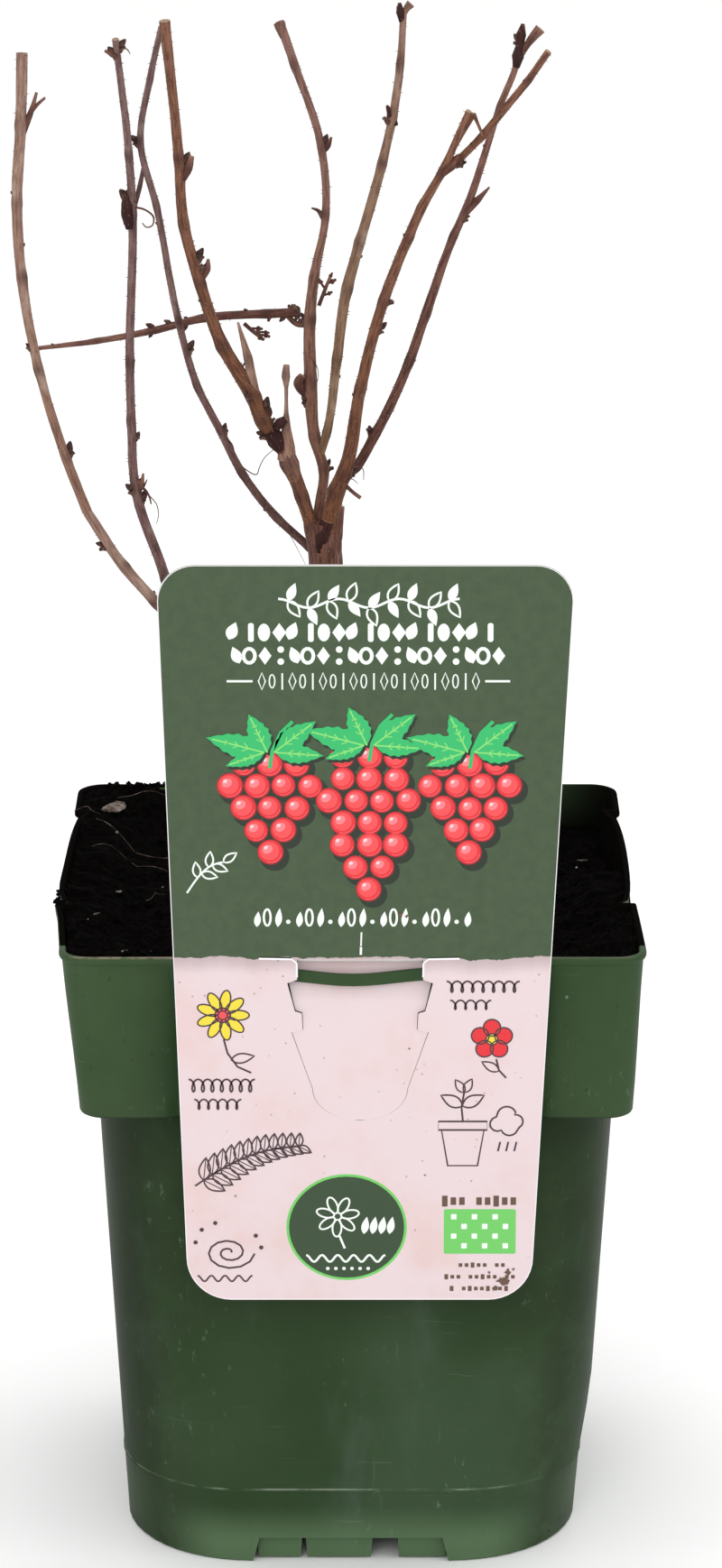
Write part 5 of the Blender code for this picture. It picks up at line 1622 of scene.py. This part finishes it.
threads = {
    "tendril_left": (((-48.6, -5.0, 305.2), (-46.3, -5.2, 304.7), (-44.4, -5.6, 303.0), (-44.6, -5.2, 301.0),
                      (-46.0, -4.6, 300.6), (-46.9, -4.8, 301.6)), 0.26),
    "tendril_tip": (((-51.2, -18.6, 341.8), (-50.2, -18.8, 343.0), (-49.0, -19.0, 342.6),
                     (-48.3, -19.0, 341.6)), 0.22),
    "tendril_low": (((-29.7, -2.2, 253.3), (-27.3, -3.0, 250.6), (-26.4, -3.4, 247.6), (-24.3, -3.2, 245.0),
                     (-21.8, -3.0, 243.8), (-21.0, -3.2, 245.6), (-19.8, -3.4, 247.7), (-18.0, -3.3, 249.6)),
                    0.17),
    "dead_twig_left": (((-48.7, -7.3, 242.0), (-47.2, -7.6, 241.6), (-45.9, -7.6, 240.1),
                        (-45.3, -7.4, 238.0)), 0.34),
    "dead_twig_fork": (((-47.2, -7.6, 241.6), (-46.6, -7.2, 242.6), (-46.2, -7.0, 243.6)), 0.26),
    "hair_left": (((-45.8, -7.2, 240.0), (-44.3, -7.0, 237.6), (-43.8, -7.3, 235.4), (-44.4, -7.1, 233.2)),
                  0.14),
    "hair_joint_a": (((-1.6, -6.0, 244.6), (0.2, -6.6, 246.4), (2.0, -6.6, 246.0), (2.4, -6.3, 243.2)), 0.16),
    "hair_joint_b": (((-1.9, -6.2, 242.6), (-0.2, -6.8, 243.6), (1.2, -6.9, 242.6)), 0.14),
    "thread_slack": (((-17.0, 0.9, 233.4), (-14.2, -1.0, 229.0), (-11.6, -2.0, 224.0), (-9.4, -2.4, 219.8)),
                     0.09),
    "hair_knot": (((-9.6, 6.9, 268.5), (-8.2, 6.6, 266.4), (-8.0, 6.4, 263.6), (-9.0, 6.0, 261.4)), 0.12),
    "claw_left": (((-23.6, -3.9, 270.6), (-24.8, -4.2, 268.4), (-25.0, -4.3, 265.6), (-24.2, -4.2, 262.6)),
                  0.22),
}


def makeThreads():
    pieces = []
    for seed, (name, (joints, radius)) in enumerate(threads.items()):
        wiggled = [Vector(joint) + Vector((ripple(i, seed, 1.0, 1.7), ripple(i, seed, 5.0, 1.7), 0)) * 0.3
                   for i, joint in enumerate(joints)]
        pieces.append(barkTube(name, wiggled, (radius, radius * 0.85, radius * 0.5), seed,
                               sides=6, ringStep=0.3, swell=0.0, cut=False))
    dress(joined("tendrils", pieces), barkFinishes["dark"], "canes")


makeThreads()


# Dried trusses: a stem with bent stalks, and a withered calyx at the end of each

trusses = {"truss_cross": {"start": (-24.7, 13.8, 274.9), "heading": (0.75, -0.3, -0.6), "length": 5.0,
                           "stalks": 4, "reach": 0.5, "seed": 3},
           "truss_middle": {"start": (-7.75, 11.2, 279.6), "heading": (0.4, 0.1, 1.0), "length": 7.4,
                            "stalks": 3, "reach": 0.22, "seed": 8}}
stalk = {"radius": 0.42, "turn": 2.4, "lift": 0.7, "bow": 0.08}


def makeTrusses():
    calyx = scarModel()
    for node, truss in trusses.items():
        start, heading = Vector(truss["start"]), Vector(truss["heading"]).normalized()
        length, seed = truss["length"], truss["seed"]
        radius = stalk["radius"]
        stem = [start + heading * length * share for share in (0.0, 0.5, 1.0)]
        pieces = [barkTube("dry_" + node, stem, (radius * 1.2, radius, radius * 0.9), seed, sides=8,
                           ringStep=0.35)]
        across = heading.orthogonal().normalized()
        around = heading.cross(across)
        tips = [(stem[-1], heading)]
        for i in range(truss["stalks"]):
            wander = noise.noise(Vector((seed * 7.31, i * 3.77, 0.5)))
            angle = i * stalk["turn"] + wander * 2.0
            aside = across * math.cos(angle) + around * math.sin(angle)
            root = start + heading * length * mix(0.35, 0.95, i / truss["stalks"])
            waver = noise.noise(Vector((seed * 7.31, (i + 20) * 3.77, 0.5)))
            reach = length * truss["reach"] * (1.0 + 0.5 * waver)
            tip = root + (aside + heading * stalk["lift"]).normalized() * reach
            middle = root.lerp(tip, 0.5) + aside * reach * stalk["bow"]
            pieces.append(barkTube("stalk", (root, middle, tip), (radius * 0.8, radius * 0.6, radius * 0.7),
                                   seed + i, sides=6, ringStep=0.3))
            tips.append((tip, (tip - middle).normalized()))
        places = [aimed(tip - aim * 0.2, aim, dice.uniform(0.9, 1.3), dice.random() * 6)
                  for tip, aim in tips]
        pieces.append(meshArray("calyxes", calyx, places))
        dress(joined("dry_" + node, pieces), barkFinishes["dark"], "trusses", node)


makeTrusses()
print("trusses and tendrils are on")


# What lies in the soil and over the rim: crumbs, clumps, bark chips, perlite and fibres

litter = {"crumbs": 520, "rimClumps": 170, "perlite": 24, "chips": 12, "fibres": 10,
          "spanX": (-60, 57), "spanY": (-60, 60),
          # the longest rootlets lie across the left side: x, y, heading and length
          "longFibres": ((-61.0, 38.0, -0.95, 17.0), (-61.0, 20.0, -0.2, 8.0), (-66.5, 42.0, 0.2, 6.0))}


def lumpModel(seed, levels=1):
    bpy.ops.mesh.primitive_ico_sphere_add(subdivisions=levels, radius=mm / 2, location=(0, 0, 0))
    lump = bpy.context.object
    for vert in lump.data.vertices:
        here = vert.co / mm
        vert.co *= 1.0 + 0.9 * ripple(here.x + seed * 3.1, here.y, here.z, 1.6)
    mesh = lump.data
    bpy.data.objects.remove(lump)
    return mesh


def soilTop(x, y):
    # the height of the soil at a place, after the pot has settled
    return soilHeight(x + 1.0, y) + pot["tilt"] * y / pot["collar"][1]


def randomTilt():
    return (dice.uniform(-1, 1), dice.uniform(-1, 1), dice.uniform(-1, 1))


def makeLitter():
    crumbs = [[] for _ in range(3)]
    for i in range(litter["crumbs"]):
        x, y = dice.uniform(*litter["spanX"]), dice.uniform(*litter["spanY"])
        size = mix(0.5, 2.6, dice.random() ** 3)
        crumbs[i % 3].append(aimed((x, y, soilTop(x, y) + size * 0.1), randomTilt(),
                                   (size, size, size * 0.7)))
    for i in range(litter["rimClumps"]):
        # most lie along the back-left rim, the others in the left and right side pockets
        kind = i % 5
        if kind < 2:
            x, y, z = dice.uniform(-60, -40), dice.uniform(61.6, 64.6), 150.9
        elif kind == 2:
            x, y, z = dice.uniform(-67.4, -65.6), dice.uniform(-30, -15), 149.4
        elif kind == 3:
            x, y, z = (dice.uniform(-65.9, -64.2), mix(-28, 36, dice.random() ** 1.6),
                       dice.uniform(144.0, 147.2))
        else:
            x, y, z = dice.uniform(61.4, 62.8), dice.uniform(-24, 36), dice.uniform(144.0, 146.4)
        size = mix(0.7, 2.3, dice.random() ** 2)
        crumbs[i % 3].append(aimed((x, y, z), randomTilt(),
                                   (size, size * dice.uniform(0.5, 1.0), size * 0.8)))
    parts = [meshArray("crumbs", lumpModel(k), places) for k, places in enumerate(crumbs)]
    dress(joined("soil_crumbs", parts), soilFinish(), "soil")

    white = []
    for _ in range(litter["perlite"]):
        x, y = dice.uniform(*litter["spanX"]), dice.uniform(*litter["spanY"])
        size = dice.uniform(0.35, 0.9)
        white.append(aimed((x, y, soilTop(x, y) + size * 0.4), randomTilt(), (size, size, size * 0.8)))
    dress(meshArray("perlite", lumpModel(7), white),
          twigFinish("perlite grain", (0.30, 0.28, 0.25), (0.62, 0.60, 0.56)),
          "soil")

    chips = [aimed((-57.0, 45.0, soilTop(-57.0, 45.0) + 0.8), (0.1, -0.5, 1.0), (5.8, 3.2, 0.9), 0.2)]
    for _ in range(litter["chips"]):
        x, y = dice.uniform(-58, 56), dice.uniform(-58, 58)
        chips.append(aimed((x, y, soilTop(x, y) + 0.3),
                           (dice.uniform(-0.3, 0.3), dice.uniform(-0.3, 0.3), 1.0),
                           (dice.uniform(1.4, 3.4), dice.uniform(0.7, 1.4), 0.6), dice.random() * 6))
    dress(meshArray("bark_chips", lumpModel(4, 2), chips),
          twigFinish("bark chip", tint(52, 42, 38), tint(122, 110, 102), 0.8),
          "soil")

    fibres = []
    for i in range(litter["fibres"]):
        x, y = dice.uniform(-61, 55), dice.uniform(-50, 60)
        heading, length = dice.uniform(-0.6, 0.9), dice.uniform(4.0, 13.0)
        if i < len(litter["longFibres"]):
            x, y, heading, length = litter["longFibres"][i]
        joints = []
        for k in range(5):
            u = k / 4 * length
            px = x + math.cos(heading) * u + ripple(i, k, 1.0, 0.9) * 1.5
            py = y + math.sin(heading) * u + ripple(i, k, 4.0, 0.9) * 1.5
            # the third rootlet hangs over the rim
            ground = max(soilTop(px, py), 146.0 if i == 2 else 0)
            joints.append((px, py, ground + 0.35 + 1.2 * math.sin(k / 4 * math.pi)))
        fibres.append(barkTube("fibre", joints, (0.09, 0.08, 0.03), i, sides=6, ringStep=0.6, swell=0.0,
                               cut=False))
    dress(joined("rootlets", fibres), twigFinish("rootlet", tint(38, 26, 22), tint(112, 92, 80), 0.4), "soil")


makeLitter()
print("soil litter is down")
